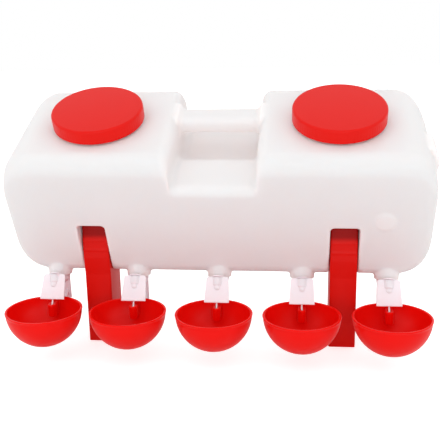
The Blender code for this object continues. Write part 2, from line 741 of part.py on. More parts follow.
def make_legs():
    """Both legs, each upright under its slot."""
    shared = leg_mesh()
    for side, name in ((-1, "left"), (1, "right")):
        place = (FRAME_X + side * LEG_SPACING / 2, LEG_FRONT, 0.0)
        add_object(f"{name}_leg", shared.copy(), "red", None, place)


def bowl_mesh():
    """A bowl about its hinge axis, with the socket for the stem's ball and the eye for the hinge pin."""
    inner_radius = BOWL_RADIUS - BOWL_WALL
    rim = BOWL_RIM_UP - HINGE_UP
    centre = (0.0, BOWL_Y - HINGE_Y)
    outside = []
    inside = []
    for k in range(BOWL_RINGS):
        angle = pi / 2 * k / BOWL_RINGS
        outside.append((BOWL_RADIUS * sin(angle), rim - BOWL_RADIUS * cos(angle)))
        inside.append((inner_radius * sin(angle), rim - inner_radius * cos(angle)))
    lip = [(BOWL_RADIUS, rim - 0.0020), (BOWL_RADIUS + BOWL_LIP, rim - 0.0008), (BOWL_RADIUS + BOWL_LIP, rim),
           (inner_radius, rim)]
    bowl = turned(outside + lip + inside[::-1], BOWL_FACETS, centre)

    ball = (BALL_Y - HINGE_Y, BALL_UP - HINGE_UP)
    boss_top = BOSS_TOP_UP - HINGE_UP
    boss_outline = []
    for k in range(SMALL_FACETS // 2 + 1):
        angle = pi + pi * k / (SMALL_FACETS // 2)
        boss_outline.append((BOSS_RADIUS * cos(angle), ball[0] + BOSS_RADIUS * sin(angle)))
    boss_outline += [(BOSS_RADIUS, 0.0), (-BOSS_RADIUS, 0.0)]
    boss = prism(boss_outline, BOSS_FOOT_UP - HINGE_UP, boss_top, "Z")
    middle_radius = BOWL_RADIUS - BOWL_WALL / 2
    keep = [(middle_radius * sin(pi / 2 * k / BOWL_RINGS), rim - middle_radius * cos(pi / 2 * k / BOWL_RINGS))
            for k in range(BOWL_RINGS + 1)]
    boss = combine(boss, [turned(keep + [(0.0, rim)], BOWL_FACETS, centre)], "INTERSECT")

    to_centre = Vector((centre[1], rim)).normalized()
    across = Vector((-to_centre.y, to_centre.x))
    root = to_centre * (Vector((centre[1], rim)).length - BOWL_RADIUS + BOWL_WALL * 0.4)
    eye_outline = [tuple(root + across * EYE_ROOT), tuple(root - across * EYE_ROOT)]
    for k in range(7):
        turn = -pi / 2 + pi * k / 6
        eye_outline.append(tuple(-to_centre * EYE_RADIUS * cos(turn) + across * EYE_RADIUS * sin(turn)))
    eye = prism(eye_outline, -EYE_WIDTH / 2, EYE_WIDTH / 2)
    body = combine(bowl, [boss, eye], "UNION")

    room = STEM_BALL_RADIUS + SOCKET_CLEARANCE
    neck_room = STEM_RADIUS + STEM_GUIDE_CLEARANCE
    stem_front = ball[0] - neck_room / cos(SLANT)
    stem_back = ball[0] + (boss_top - ball[1]) * sin(SLANT) / cos(SLANT) + neck_room / cos(SLANT)
    cavity = box((-room, ball[0] - room, ball[1] - room),
                 (room, ball[0] + room, ball[1] + STEM_BALL_RADIUS + FACE_GAP))
    slit = box((-neck_room, stem_front, ball[1]), (neck_room, stem_back, boss_top + SMALL_OVERRUN))
    past_eye = EYE_WIDTH / 2 + SMALL_OVERRUN
    hole = cross_bar(PIN_RADIUS + PIN_CLEARANCE, -past_eye, past_eye, 0.0, 0.0, SMALL_FACETS)
    return combine(body, [cavity, slit, hole], "DIFFERENCE")


def plate(top_width, bottom_width, top, bottom):
    """A flat plate whose front lies on two (y, z) lines, tapered from top to bottom."""
    bm = bmesh.new()
    rings = []
    for shift in (0.0, PLATE_THICK):
        corners = ((-top_width / 2, top), (top_width / 2, top),
                   (bottom_width / 2, bottom), (-bottom_width / 2, bottom))
        rings.append([bm.verts.new((x, at[0] + shift, at[1])) for x, at in corners])
    join_rings(bm, rings)
    bm.faces.new(rings[0])
    bm.faces.new(rings[-1])
    return mesh_from(bm, "plate")


def ear_mesh(side):
    """One ear of the valve body, from the rear plate forward to the hinge pin."""
    hinge = (HINGE_Y - NOZZLE_Y, HINGE_UP)
    near = side * (EYE_WIDTH / 2 + EAR_GAP)
    far = side * (EYE_WIDTH / 2 + EAR_GAP + EAR_THICK)
    outline = [(REAR_PLATE_BOTTOM_BACK + JOIN_DEPTH, REAR_PLATE_BOTTOM_UP),
               (REAR_PLATE_BOTTOM_BACK, REAR_PLATE_BOTTOM_UP + EAR_ROOT_HEIGHT)]
    for k in range(7):
        angle = radians(110) + radians(160) * k / 6
        outline.append((hinge[0] + EYE_RADIUS * cos(angle), hinge[1] + EYE_RADIUS * sin(angle)))
    return prism(outline, min(near, far), max(near, far))


def valve_mesh():
    """The valve body about the outlet neck's axis: spigot, arm, leaning chamber, plates and hinge ears."""
    on_axis = Matrix.Translation((0.0, VALVE_Y - NOZZLE_Y, VALVE_UP)) @ Matrix.Rotation(-SLANT, 4, "X")
    chamber_line = [(0.0, CHAMBER_LOW)]
    for share in (0.55, 0.88, 1.0):
        rise = CHAMBER_NOSE * (1 - sqrt(1 - share ** 2))
        chamber_line.append((CHAMBER_RADIUS * share, CHAMBER_LOW + rise))
    chamber_line += [(CHAMBER_RADIUS, HEAD_LOW - CHAMBER_STEP), (HEAD_RADIUS, HEAD_LOW),
                     (HEAD_RADIUS, HEAD_HIGH), (0.0, HEAD_HIGH)]
    chamber = moved(turned(chamber_line, SMALL_FACETS), on_axis)
    spigot_top = NOZZLE_END_UP + SPIGOT_LENGTH
    spigot = turned([
        (0.0, ARM_BOTTOM_UP), (SPIGOT_RADIUS, ARM_BOTTOM_UP), (FLANGE_RADIUS, FLANGE_BOTTOM_UP),
        (FLANGE_RADIUS, FLANGE_TOP_UP), (SPIGOT_RADIUS, FLANGE_TOP_UP), (SPIGOT_RADIUS, spigot_top),
        (0.0, spigot_top)], SMALL_FACETS)
    arm_front = VALVE_Y - NOZZLE_Y + (PASSAGE_UP - VALVE_UP) * sin(SLANT) / cos(SLANT)
    arm = box((-ARM_WIDTH / 2, arm_front, ARM_BOTTOM_UP), (ARM_WIDTH / 2, 0.0, ARM_TOP_UP))
    front = moved(plate(FRONT_PLATE_TOP_WIDTH, FRONT_PLATE_BOTTOM_WIDTH, (-FRONT_PLATE_AHEAD, FRONT_PLATE_HIGH),
                        (-FRONT_PLATE_AHEAD, FRONT_PLATE_LOW)), on_axis)
    rear = plate(REAR_PLATE_TOP_WIDTH, REAR_PLATE_BOTTOM_WIDTH,
                 (REAR_PLATE_TOP_BACK, FLANGE_TOP_UP - REAR_PLATE_TOP_DROP),
                 (REAR_PLATE_BOTTOM_BACK, REAR_PLATE_BOTTOM_UP))
    whole = combine(spigot, [arm, chamber, front, rear, ear_mesh(-1), ear_mesh(1)], "UNION")

    past_ears = EYE_WIDTH / 2 + EAR_GAP + EAR_THICK + SMALL_OVERRUN
    guide_radius = STEM_RADIUS + STEM_GUIDE_CLEARANCE
    pin_room = PIN_RADIUS + PIN_CLEARANCE
    cuts = [
        cylinder(SPIGOT_BORE_RADIUS, PASSAGE_UP - PASSAGE / 2, spigot_top + OVERRUN, SMALL_FACETS),
        moved(cylinder(CHAMBER_BORE_RADIUS, SEAT, SPRING_FLOOR + SMALL_OVERRUN, SMALL_FACETS), on_axis),
        moved(cylinder(HEAD_BORE_RADIUS, SPRING_FLOOR, HEAD_HIGH + OVERRUN, SMALL_FACETS), on_axis),
        moved(cylinder(guide_radius, -OVERRUN, SEAT + SMALL_OVERRUN, TINY_FACETS), on_axis),
        box((-PASSAGE / 2, arm_front, PASSAGE_UP - PASSAGE / 2), (PASSAGE / 2, 0.0, PASSAGE_UP + PASSAGE / 2)),
        cross_bar(pin_room, -past_ears, past_ears, HINGE_Y - NOZZLE_Y, HINGE_UP, SMALL_FACETS),
    ]
    return combine(whole, cuts, "DIFFERENCE")


def stem_mesh():
    """The valve stem along the valve axis: a ball below, a collar over the washer, a disc on the spring."""
    profile = [(0.0, -STEM_BALL_DROP - STEM_BALL_RADIUS)]
    for k in range(1, 4):
        angle = -pi / 2 + pi * k / 5
        profile.append((STEM_BALL_RADIUS * cos(angle), -STEM_BALL_DROP + STEM_BALL_RADIUS * sin(angle)))
    profile += [
        (STEM_RADIUS, -STEM_BALL_DROP + STEM_BALL_RADIUS * 0.83), (STEM_RADIUS, COLLAR_LOW),
        (STEM_COLLAR_RADIUS, COLLAR_LOW), (STEM_COLLAR_RADIUS, COLLAR_LOW + STEM_COLLAR_THICK),
        (STEM_RADIUS, COLLAR_LOW + STEM_COLLAR_THICK), (STEM_RADIUS, DISC_LOW),
        (STEM_DISC_RADIUS, DISC_LOW), (STEM_DISC_RADIUS, DISC_TOP), (0.0, DISC_TOP)]
    return turned(profile, TINY_FACETS)


def spring_mesh():
    """The spring under the stem's disc, as one wire along a helix."""
    points_per_turn = 8
    sides = 4
    low = SPRING_FLOOR + FACE_GAP + SPRING_WIRE / 2
    high = DISC_LOW - FACE_GAP - SPRING_WIRE / 2
    count = SPRING_TURNS * points_per_turn
    bm = bmesh.new()
    rings = []
    for k in range(count + 1):
        turn = 2 * pi * k / points_per_turn
        up = low + (high - low) * k / count
        ring = []
        for j in range(sides):
            around = 2 * pi * j / sides
            radius = SPRING_RADIUS + SPRING_WIRE / 2 * cos(around)
            z = up + SPRING_WIRE / 2 * sin(around)
            ring.append(bm.verts.new((radius * cos(turn), radius * sin(turn), z)))
        rings.append(ring)
    join_rings(bm, rings)
    bm.faces.new(rings[0])
    bm.faces.new(rings[-1])
    return mesh_from(bm, "spring")


def pin_mesh():
    """The hinge pin along X, with a head at its right end."""
    ear_out = EYE_WIDTH / 2 + EAR_GAP + EAR_THICK
    right = ear_out + FACE_GAP
    left = -ear_out - PIN_END
    profile = [(0.0, left), (PIN_RADIUS, left), (PIN_RADIUS, right), (PIN_HEAD_RADIUS, right),
               (PIN_HEAD_RADIUS, right + PIN_HEAD_THICK), (0.0, right + PIN_HEAD_THICK)]
    return moved(turned(profile, TINY_FACETS), Matrix.Rotation(pi / 2, 4, "Y"))


def make_drinking_points():
    """Five valves, each with its seal, plug, stem, washer, spring, hinge pin and bowl."""
    valve = valve_mesh()
    seal = turned(ring_profile(SPIGOT_RADIUS + FACE_GAP, FLANGE_RADIUS, FLANGE_TOP_UP + FACE_GAP,
                               NOZZLE_END_UP - FACE_GAP), SMALL_FACETS)
    plug_spigot = HEAD_BORE_RADIUS - FACE_GAP
    plug = turned([(0.0, HEAD_HIGH - PLUG_SPIGOT), (plug_spigot, HEAD_HIGH - PLUG_SPIGOT),
                   (plug_spigot, HEAD_HIGH + FACE_GAP), (PLUG_RADIUS, HEAD_HIGH + FACE_GAP),
                   (PLUG_RADIUS, HEAD_HIGH + PLUG_THICK * 0.4),
                   (PLUG_RADIUS * 0.86, HEAD_HIGH + PLUG_THICK * 0.8),
                   (PLUG_RADIUS * 0.6, HEAD_HIGH + PLUG_THICK), (0.0, HEAD_HIGH + PLUG_THICK)], SMALL_FACETS)
    washer = turned(ring_profile(STEM_RADIUS + FACE_GAP, WASHER_RADIUS, WASHER_LOW, WASHER_LOW + WASHER_THICK),
                    TINY_FACETS)
    stem = stem_mesh()
    spring = spring_mesh()
    pin = pin_mesh()
    bowl = bowl_mesh()
    for number, along in enumerate(bowl_places(), start=1):
        x = FRAME_X + along
        valve_axis = add_empty(f"valve_axis_{number}", (x, VALVE_Y, VALVE_UP), -SLANT)
        on_neck = (x, NOZZLE_Y, 0.0)
        on_hinge = (x, HINGE_Y, HINGE_UP)
        add_object(f"valve_body_{number}", valve.copy(), "valve", None, on_neck)
        add_object(f"nozzle_seal_{number}", seal.copy(), "rubber", None, on_neck)
        add_object(f"valve_plug_{number}", plug.copy(), "valve", valve_axis)
        add_object(f"valve_stem_{number}", stem.copy(), "valve", valve_axis)
        add_object(f"valve_washer_{number}", washer.copy(), "rubber", valve_axis)
        add_object(f"valve_spring_{number}", spring.copy(), "steel", valve_axis)
        add_object(f"hinge_pin_{number}", pin.copy(), "steel", None, on_hinge)
        add_object(f"bowl_{number}", bowl.copy(), "red", None, on_hinge)


def main():
    """Build every piece."""
    clear_scene()
    tank_frame = add_empty("tank_frame", (FRAME_X, TANK_EDGE_Y, TANK_FRONT_EDGE_UP), TILT)
    make_tank(tank_frame)
    make_caps(tank_frame)
    make_legs()
    make_drinking_points()
    bpy.context.view_layer.update()


main()
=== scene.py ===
# %% [markdown]
# A poultry drinker in moulded plastic: a milky blow-moulded tank with two red screw caps stands on
# two red legs, and feeds five red bowls through white float valves under its front edge.
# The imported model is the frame. Every new piece below is a surface worked out with numpy, put where
# the frame says, and given a finish made of shader nodes.

from math import cos, pi, radians, sin, tan

import bmesh
import bpy
import numpy as np
from mathutils import Matrix, Vector


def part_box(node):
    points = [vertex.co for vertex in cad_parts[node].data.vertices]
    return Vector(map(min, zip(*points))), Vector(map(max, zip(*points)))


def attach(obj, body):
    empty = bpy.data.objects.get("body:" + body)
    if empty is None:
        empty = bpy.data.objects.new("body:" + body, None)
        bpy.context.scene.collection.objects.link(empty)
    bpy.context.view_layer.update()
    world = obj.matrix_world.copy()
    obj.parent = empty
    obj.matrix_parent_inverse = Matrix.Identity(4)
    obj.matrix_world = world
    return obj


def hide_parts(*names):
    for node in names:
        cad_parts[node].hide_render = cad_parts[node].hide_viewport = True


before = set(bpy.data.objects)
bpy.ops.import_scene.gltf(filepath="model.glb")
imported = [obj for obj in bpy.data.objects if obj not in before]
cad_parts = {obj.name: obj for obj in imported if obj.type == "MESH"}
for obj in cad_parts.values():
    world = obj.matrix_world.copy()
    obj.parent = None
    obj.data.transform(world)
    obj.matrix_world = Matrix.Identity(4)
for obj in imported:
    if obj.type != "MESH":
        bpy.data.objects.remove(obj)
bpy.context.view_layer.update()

# %% [markdown]
# The tank leans forward, so its shapes are easiest to write in its own upright frame: u to the right,
# v to the back and w up, from the middle of its lower front edge. One matrix carries them to the world.
# The legs, which stand upright, give the middle of the object and its front.

# %% Where the main pieces stand
LEG_HEAD_REACH = 0.003
TANK_TILT = radians(24.0)
TANK_FRONT_EDGE_BACK = 0.010
TANK_FRONT_EDGE_UP = 0.0752

left_leg_box = np.array(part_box("left_leg"))
right_leg_box = np.array(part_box("right_leg"))
middle_x = (left_leg_box[0, 0] + right_leg_box[1, 0]) / 2
leg_front = left_leg_box[0, 1] + LEG_HEAD_REACH
tank_edge_y = leg_front + TANK_FRONT_EDGE_BACK
on_tank = (Matrix.Translation((middle_x, tank_edge_y, TANK_FRONT_EDGE_UP))
           @ Matrix.Rotation(TANK_TILT, 4, "X"))
print("middle", round(middle_x * 1000, 2), "leg front", round(leg_front * 1000, 2), "mm")

# %% [markdown]
# Almost every form here is a stack of rings: the same number of points in each, with quads between
# neighbouring rings. A small set of helpers turns such stacks into closed meshes, so that each piece
# needs only its formula. Arrays do the work, with no loop over points.


# %% Stacks of rings
def ring_quads(rows, columns, loop=False):
    """Corner numbers of the quads between neighbouring rings. A loop joins the last ring to the first."""
    row = np.arange(rows if loop else rows - 1)[:, None]
    column = np.arange(columns)[None, :]
    next_row = (row + 1) % rows
    next_column = (column + 1) % columns
    corners = [row * columns + column, row * columns + next_column,
               next_row * columns + next_column, next_row * columns + column]
    return np.stack([np.broadcast_to(c, (len(row), columns)) for c in corners], axis=-1).reshape(-1, 4)


def add_object(name, data):
    """An object in the scene for a mesh, lamp or camera."""
    item = bpy.data.objects.new(name, data)
    bpy.context.scene.collection.objects.link(item)
    return item


def new_piece(name, points, faces):
    """A mesh object from points and faces, with every face turned outwards."""
    mesh = bpy.data.meshes.new(name)
    mesh.from_pydata(np.asarray(points).reshape(-1, 3).tolist(), [], faces)
    bm = bmesh.new()
    bm.from_mesh(mesh)
    bmesh.ops.remove_doubles(bm, verts=bm.verts, dist=1e-7)
    bmesh.ops.recalc_face_normals(bm, faces=bm.faces)
    bm.to_mesh(mesh)
    bm.free()
    return add_object(name, mesh)


def stack(name, rings, poles=None, loop=False):
    """A closed form from rings (ring, point, xyz). Its ends are flat faces, or fans to the two poles."""
    rows, columns = rings.shape[:2]
    points = rings.reshape(-1, 3)
    faces = ring_quads(rows, columns, loop).tolist()
    if poles is not None:
        first = np.arange(columns)
        second = np.roll(first, -1)
        last = (rows - 1) * columns
        low = np.full(columns, rows * columns)
        faces += np.stack([second, first, low], axis=1).tolist()
        faces += np.stack([first + last, second + last, low + 1], axis=1).tolist()
        points = np.concatenate([points, np.asarray(poles, float)])
    elif not loop:
        faces.append(list(range(columns))[::-1])
        faces.append(list(range((rows - 1) * columns, rows * columns)))
    return new_piece(name, points, faces)


# %% Soft corners, turned forms and slabs
def soften(corners, cut, steps=4, closed=False):
    """A path whose corners become short curves. Each leaves the path `cut` before the corner and joins it
    `cut` after it: (1-t)^2 start + 2t(1-t) corner + t^2 end."""
    corners = np.asarray(corners, float)
    cut = np.broadcast_to(np.asarray(cut, float), (len(corners),))
    to_last = np.roll(corners, 1, axis=0) - corners
    to_next = np.roll(corners, -1, axis=0) - corners
    last_length = np.linalg.norm(to_last, axis=1)
    next_length = np.linalg.norm(to_next, axis=1)
    cut = np.minimum(cut, 0.49 * np.minimum(last_length, next_length))
    start = corners + to_last * (cut / last_length)[:, None]
    end = corners + to_next * (cut / next_length)[:, None]
    t = np.linspace(0.0, 1.0, steps + 1)[None, :, None]
    curve = (1 - t) ** 2 * start[:, None] + 2 * t * (1 - t) * corners[:, None] + t ** 2 * end[:, None]
    if closed:
        return curve.reshape(-1, corners.shape[1])
    inner = curve[1:-1].reshape(-1, corners.shape[1])
    return np.concatenate([corners[:1], inner, corners[-1:]])


def turned(name, profile, facets, at=(0.0, 0.0)):
    """A (radius, height) profile turned about a vertical axis. A profile that starts and ends on the axis
    gets two poles; any other is closed on itself."""
    profile = np.asarray(profile, float)
    poled = profile[0, 0] < 1e-9 and profile[-1, 0] < 1e-9
    body = profile[1:-1] if poled else profile
    angle = np.linspace(0.0, 2 * pi, facets, endpoint=False)
    radius = body[:, :1]
    height = np.broadcast_to(body[:, 1:], (len(body), facets))
    rings = np.stack([at[0] + radius * np.cos(angle), at[1] + radius * np.sin(angle), height], axis=-1)
    poles = [(*at, profile[0, 1]), (*at, profile[-1, 1])] if poled else None
    return stack(name, rings, poles, loop=not poled)


def slab(name, outline, low, high, axes="xyz", edge=0.0, steps=4):
    """A flat outline (a, b) carried from low to high, its two rims rounded by a quarter circle of radius
    edge. The letters of axes say which way a, b and the carry point."""
    outline = np.asarray(outline, float)
    following = np.roll(outline, -1, axis=0)
    area = np.sum(outline[:, 0] * following[:, 1] - following[:, 0] * outline[:, 1])
    along = following - np.roll(outline, 1, axis=0)
    inward = np.sign(area) * np.stack([-along[:, 1], along[:, 0]], axis=1)
    inward /= np.linalg.norm(inward, axis=1)[:, None]
    angle = np.linspace(0.0, pi / 2, steps) if edge else np.array([pi / 2])
    inset = edge * (1 - np.sin(angle))
    rise = edge * (1 - np.cos(angle))
    inset = np.concatenate([inset, inset[::-1]])
    level = np.concatenate([low + rise, high - rise[::-1]])
    flat = outline[None] + inset[:, None, None] * inward[None]
    carry = np.broadcast_to(level[:, None, None], flat.shape[:2] + (1,))
    rings = np.empty(flat.shape[:2] + (3,))
    rings[..., ["xyz".index(letter) for letter in axes]] = np.concatenate([flat, carry], axis=-1)
    return stack(name, rings)


def rectangle(a_low, a_high, b_low, b_high):
    """The four corners of a rectangle."""
    return [(a_low, b_low), (a_high, b_low), (a_high, b_high), (a_low, b_high)]


def arc(radius, start, end, steps, at=(0.0, 0.0)):
    """Points along an arc: at + r (cos a, sin a). The radius may differ between the two directions."""
    angle = np.linspace(start, end, steps)
    return at + radius * np.stack([np.cos(angle), np.sin(angle)], axis=1)


def circle(radius, steps, at=(0.0, 0.0)):
    """Points round a circle."""
    return arc(radius, 0.0, 2 * pi, steps + 1, at)[:-1]


def rod(name, radius, low, high, facets, rims=None, steps=4):
    """A round rod about the upright axis. The two rims, where given, are softened by that much."""
    profile = [(0.0, low), (radius, low), (radius, high), (0.0, high)]
    if rims:
        profile = soften(profile, [0.0, *rims, 0.0], steps)
    return turned(name, profile, facets)


def place(piece, matrix):
    """Move a piece's points, so that its object stays at the origin."""
    piece.data.transform(matrix)
    return piece


def shift(x, y, z):
    """A move along the three axes."""
    return Matrix.Translation((x, y, z))


# %% [markdown]
# Where one form goes through another, the two are joined or cut with a Boolean. Blender's manifold
# solver is quick and exact on closed meshes, and all of these are closed. Where two forms would only
# touch, one reaches into the other by an overlap.


# %% Joining and cutting
OVERLAP = 0.001


def settle(piece):
    """Keep what the modifiers make as the piece's own mesh."""
    bpy.context.view_layer.update()
    seen = piece.evaluated_get(bpy.context.evaluated_depsgraph_get())
    result = bpy.data.meshes.new_from_object(seen)
    piece.modifiers.clear()
    piece.data = result
    return piece


def carve(base, tools, operation):
    """Join the tools to the base, or cut them from it, and remove them."""
    for tool in tools:
        step = base.modifiers.new("step", "BOOLEAN")
        step.operation = operation
        step.solver = "MANIFOLD"
        step.object = tool
    settle(base)
    for tool in tools:
        bpy.data.objects.remove(tool, do_unlink=True)
    return base


def finish_piece(piece, material, body, replaces=(), sharp=40):
    """Give a piece its material, smooth shading with creases, its body and the nodes it replaces."""
    piece.data.materials.clear()
    piece.data.materials.append(material)
    piece.data.shade_smooth()
    piece.data.set_sharp_from_angle(angle=radians(sharp))
    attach(piece, body)
    if replaces:
        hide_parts(*replaces)
    return piece


# %% [markdown]
# Plastic straight from a mould is never perfectly even. Its gloss drifts in soft patches, and a fine
# peel from the mould's surface breaks up reflections. All plastics here share one node group that
# makes both, as a roughness value and a bump height; each material sets its own scale and strength.


# %% A shared finish: moulded skin
def add_node(tree, kind, **values):
    """A node of a kind, with the given input sockets or settings."""
    node = tree.nodes.new(kind)
    for key, value in values.items():
        if key in node.inputs:
            node.inputs[key].default_value = value
        else:
            setattr(node, key, value)
    return node


def moulded_skin_group():
    """Roughness = base + drift x (slow noise - 0.5) + scuffs. Height = fine peel + faint slow waves."""
    tree = bpy.data.node_groups.new("moulded_skin", "ShaderNodeTree")
    face = tree.interface
    face.new_socket("Vector", in_out="INPUT", socket_type="NodeSocketVector")
    for name, value in (("Base Roughness", 0.35), ("Drift", 0.08), ("Peel Scale", 900.0), ("Wave", 0.5)):
        face.new_socket(name, in_out="INPUT", socket_type="NodeSocketFloat").default_value = value
    for name in ("Roughness", "Height", "Patch"):
        face.new_socket(name, in_out="OUTPUT", socket_type="NodeSocketFloat")
    enter = tree.nodes.new("NodeGroupInput")
    leave = tree.nodes.new("NodeGroupOutput")
    slow = add_node(tree, "ShaderNodeTexNoise", Scale=26.0, Detail=3.0, Roughness=0.55)
    peel = add_node(tree, "ShaderNodeTexNoise", Detail=2.0, Roughness=0.5)
    scuff = add_node(tree, "ShaderNodeTexNoise", Scale=240.0, Detail=5.0, Roughness=0.75)
    centred = add_node(tree, "ShaderNodeMath", operation="SUBTRACT")
    centred.inputs[1].default_value = 0.5
    drift = add_node(tree, "ShaderNodeMath", operation="MULTIPLY_ADD")
    marks = add_node(tree, "ShaderNodeMapRange", **{"From Min": 0.60, "From Max": 0.80, "To Max": 0.06})
    total = add_node(tree, "ShaderNodeMath", operation="ADD")
    waves = add_node(tree, "ShaderNodeMath", operation="MULTIPLY_ADD")
    link = tree.links.new
    for noise in (slow, peel, scuff):
        link(enter.outputs["Vector"], noise.inputs["Vector"])
    link(enter.outputs["Peel Scale"], peel.inputs["Scale"])
    link(slow.outputs["Fac"], centred.inputs[0])
    link(centred.outputs[0], drift.inputs[0])
    link(enter.outputs["Drift"], drift.inputs[1])
    link(enter.outputs["Base Roughness"], drift.inputs[2])
    link(scuff.outputs["Fac"], marks.inputs["Value"])
    link(drift.outputs[0], total.inputs[0])
    link(marks.outputs["Result"], total.inputs[1])
    link(slow.outputs["Fac"], waves.inputs[0])
    link(enter.outputs["Wave"], waves.inputs[1])
    link(peel.outputs["Fac"], waves.inputs[2])
    link(total.outputs[0], leave.inputs["Roughness"])
    link(waves.outputs[0], leave.inputs["Height"])
    link(slow.outputs["Fac"], leave.inputs["Patch"])
    return tree


moulded_skin = moulded_skin_group()
print("group", moulded_skin.name, "with", len(moulded_skin.nodes), "nodes")


# %% A plastic from the shared skin
def srgb(red, green, blue):
    """A linear colour from screen values: ((c + 0.055) / 1.055) ^ 2.4, or c / 12.92 when dark."""
    c = np.array([red, green, blue]) / 255
    linear = np.where(c <= 0.04045, c / 12.92, ((c + 0.055) / 1.055) ** 2.4)
    return (*linear.tolist(), 1.0)


def moulded_plastic(name, light, deep, roughness, drift, peel_scale, peel_depth, wave=0.4, sockets=()):
    """A Principled plastic whose colour drifts between two screen colours with the slow patches."""
    material = bpy.data.materials.new(name)
    material.use_nodes = True
    tree = material.node_tree
    shader = tree.nodes["Principled BSDF"]
    where = add_node(tree, "ShaderNodeTexCoord")
    skin = add_node(tree, "ShaderNodeGroup", node_tree=moulded_skin, Drift=drift, Wave=wave,
                    **{"Base Roughness": roughness, "Peel Scale": peel_scale})
    tint = add_node(tree, "ShaderNodeMix", data_type="RGBA")
    tint.inputs["A"].default_value = srgb(*deep)
    tint.inputs["B"].default_value = srgb(*light)
    bump = add_node(tree, "ShaderNodeBump", Strength=1.0, Distance=peel_depth)
    tree.links.new(where.outputs["Object"], skin.inputs["Vector"])
    tree.links.new(skin.outputs["Patch"], tint.inputs["Factor"])
    tree.links.new(tint.outputs["Result"], shader.inputs["Base Color"])
    tree.links.new(skin.outputs["Roughness"], shader.inputs["Roughness"])
    tree.links.new(skin.outputs["Height"], bump.inputs["Height"])
    tree.links.new(bump.outputs["Normal"], shader.inputs["Normal"])
    for socket, value in dict(sockets).items():
        shader.inputs[socket].default_value = value
    return material


def tint_by_height(material, tone, low, high, shares):
    """Blend a colour towards a tone: by the first share below low, and by the second above high."""
    tree = material.node_tree
    shader = tree.nodes["Principled BSDF"]
    body_tone = shader.inputs["Base Color"].links[0].from_socket
    where = add_node(tree, "ShaderNodeTexCoord")
    height = add_node(tree, "ShaderNodeSeparateXYZ")
    blend = add_node(tree, "ShaderNodeMapRange", interpolation_type="SMOOTHSTEP",
                     **{"From Min": low, "From Max": high, "To Min": shares[0], "To Max": shares[1]})
    mix = add_node(tree, "ShaderNodeMix", data_type="RGBA")
    mix.inputs["B"].default_value = srgb(*tone)
    tree.links.new(where.outputs["Object"], height.inputs["Vector"])
    tree.links.new(height.outputs["Z"], blend.inputs["Value"])
    tree.links.new(blend.outputs["Result"], mix.inputs["Factor"])
    tree.links.new(body_tone, mix.inputs["A"])
    tree.links.new(mix.outputs["Result"], shader.inputs["Base Color"])


# %% [markdown]
# The tank is natural polyethylene, milky because light scatters inside it. Subsurface scattering gives
# that softness. Low down it is painted a little warmer and pinker: a painted red glow that stands in for
# the light the red parts throw on the wall. A slow blend along the height leads from the glow to the
# plain tone.

# %% Milky tank plastic
TANK_LIGHT = (253, 243, 241)
TANK_DEEP = (251, 240, 238)
# Painted red glow: below these heights the tank's colour turns pinker, for the light the red parts throw
# on it.
TANK_PAINTED_GLOW = (253, 240, 238)
PAINTED_GLOW_LOW_UP = 0.080
PAINTED_GLOW_HIGH_UP = 0.165

tank_plastic = moulded_plastic("milky_tank_plastic", TANK_LIGHT, TANK_DEEP, 0.42, 0.10, 700.0, 0.00005,
                               0.8, {"Subsurface Weight": 0.60, "Subsurface Scale": 1.0,
                                     "Subsurface Radius": (0.014, 0.011, 0.010),
                                     "Specular IOR Level": 0.15, "IOR": 1.50})
tint_by_height(tank_plastic, TANK_PAINTED_GLOW, PAINTED_GLOW_LOW_UP, PAINTED_GLOW_HIGH_UP, (1.0, 0.0))

# %% [markdown]
# The caps, legs and bowls are injection-moulded polypropylene in strong reds. They are smoother than the
# tank. A leg's upper end stands in the shade of its slot, and that shade is painted into its colour: the
# red turns much darker there. The valves are a thin translucent white plastic, with painted red light
# from the bowls as a faint pink in their colour. The washers in the outlet necks are clear silicone, and
# the small hidden pieces are rubber and spring steel.

# %% Red, white, silicone, rubber and steel
# Painted shade: above these heights the leg's red darkens towards this tone, for the shade of its slot.
SLOT_PAINTED_SHADE = (152, 6, 4)
SLOT_PAINTED_SHADE_LOW_UP = 0.1200
SLOT_PAINTED_SHADE_HIGH_UP = 0.1270


def red_plastic(name, light, deep, roughness, gloss, sockets=()):
    """A smooth red moulding with a faint peel."""
    return moulded_plastic(name, light, deep, roughness, 0.10, 1500.0, 0.00002, 0.3,
                           {"Specular IOR Level": gloss, "IOR": 1.49, **dict(sockets)})


cap_plastic = red_plastic("cap_plastic", (222, 22, 13), (217, 18, 10), 0.36, 0.14)
leg_plastic = red_plastic("leg_plastic", (214, 19, 11), (208, 15, 8), 0.38, 0.12)
tint_by_height(leg_plastic, SLOT_PAINTED_SHADE, SLOT_PAINTED_SHADE_LOW_UP, SLOT_PAINTED_SHADE_HIGH_UP, (0.0, 1.0))
bowl_plastic = red_plastic("bowl_plastic", (231, 13, 6), (226, 10, 4), 0.30, 0.14,
                           {"Subsurface Weight": 0.45, "Subsurface Scale": 0.5,
                            "Subsurface Radius": (0.010, 0.001, 0.001)})
# Painted red light: the faint pink of this white stands in for light from the red bowls.
valve_plastic = moulded_plastic("valve_plastic", (250, 242, 248), (247, 237, 244), 0.30, 0.08, 1800.0,
                                0.000015, 0.3, {"Subsurface Weight": 0.45, "Subsurface Scale": 0.5,
                                                "Subsurface Radius": (0.008, 0.006, 0.006),
                                                "Transmission Weight": 0.05, "Specular IOR Level": 0.3,
                                                "IOR": 1.49})
seal_silicone = moulded_plastic("seal_silicone", (240, 232, 233), (234, 225, 227), 0.50, 0.10, 1200.0,
                                0.00002)
seal_rubber = moulded_plastic("seal_rubber", (52, 52, 55), (38, 38, 41), 0.62, 0.12, 1200.0, 0.00004)
spring_steel = moulded_plastic("spring_steel", (196, 197, 200), (178, 179, 184), 0.26, 0.10, 2400.0,
                               0.00001, 0.2, {"Metallic": 1.0})
print("materials", sorted(material.name for material in bpy.data.materials))

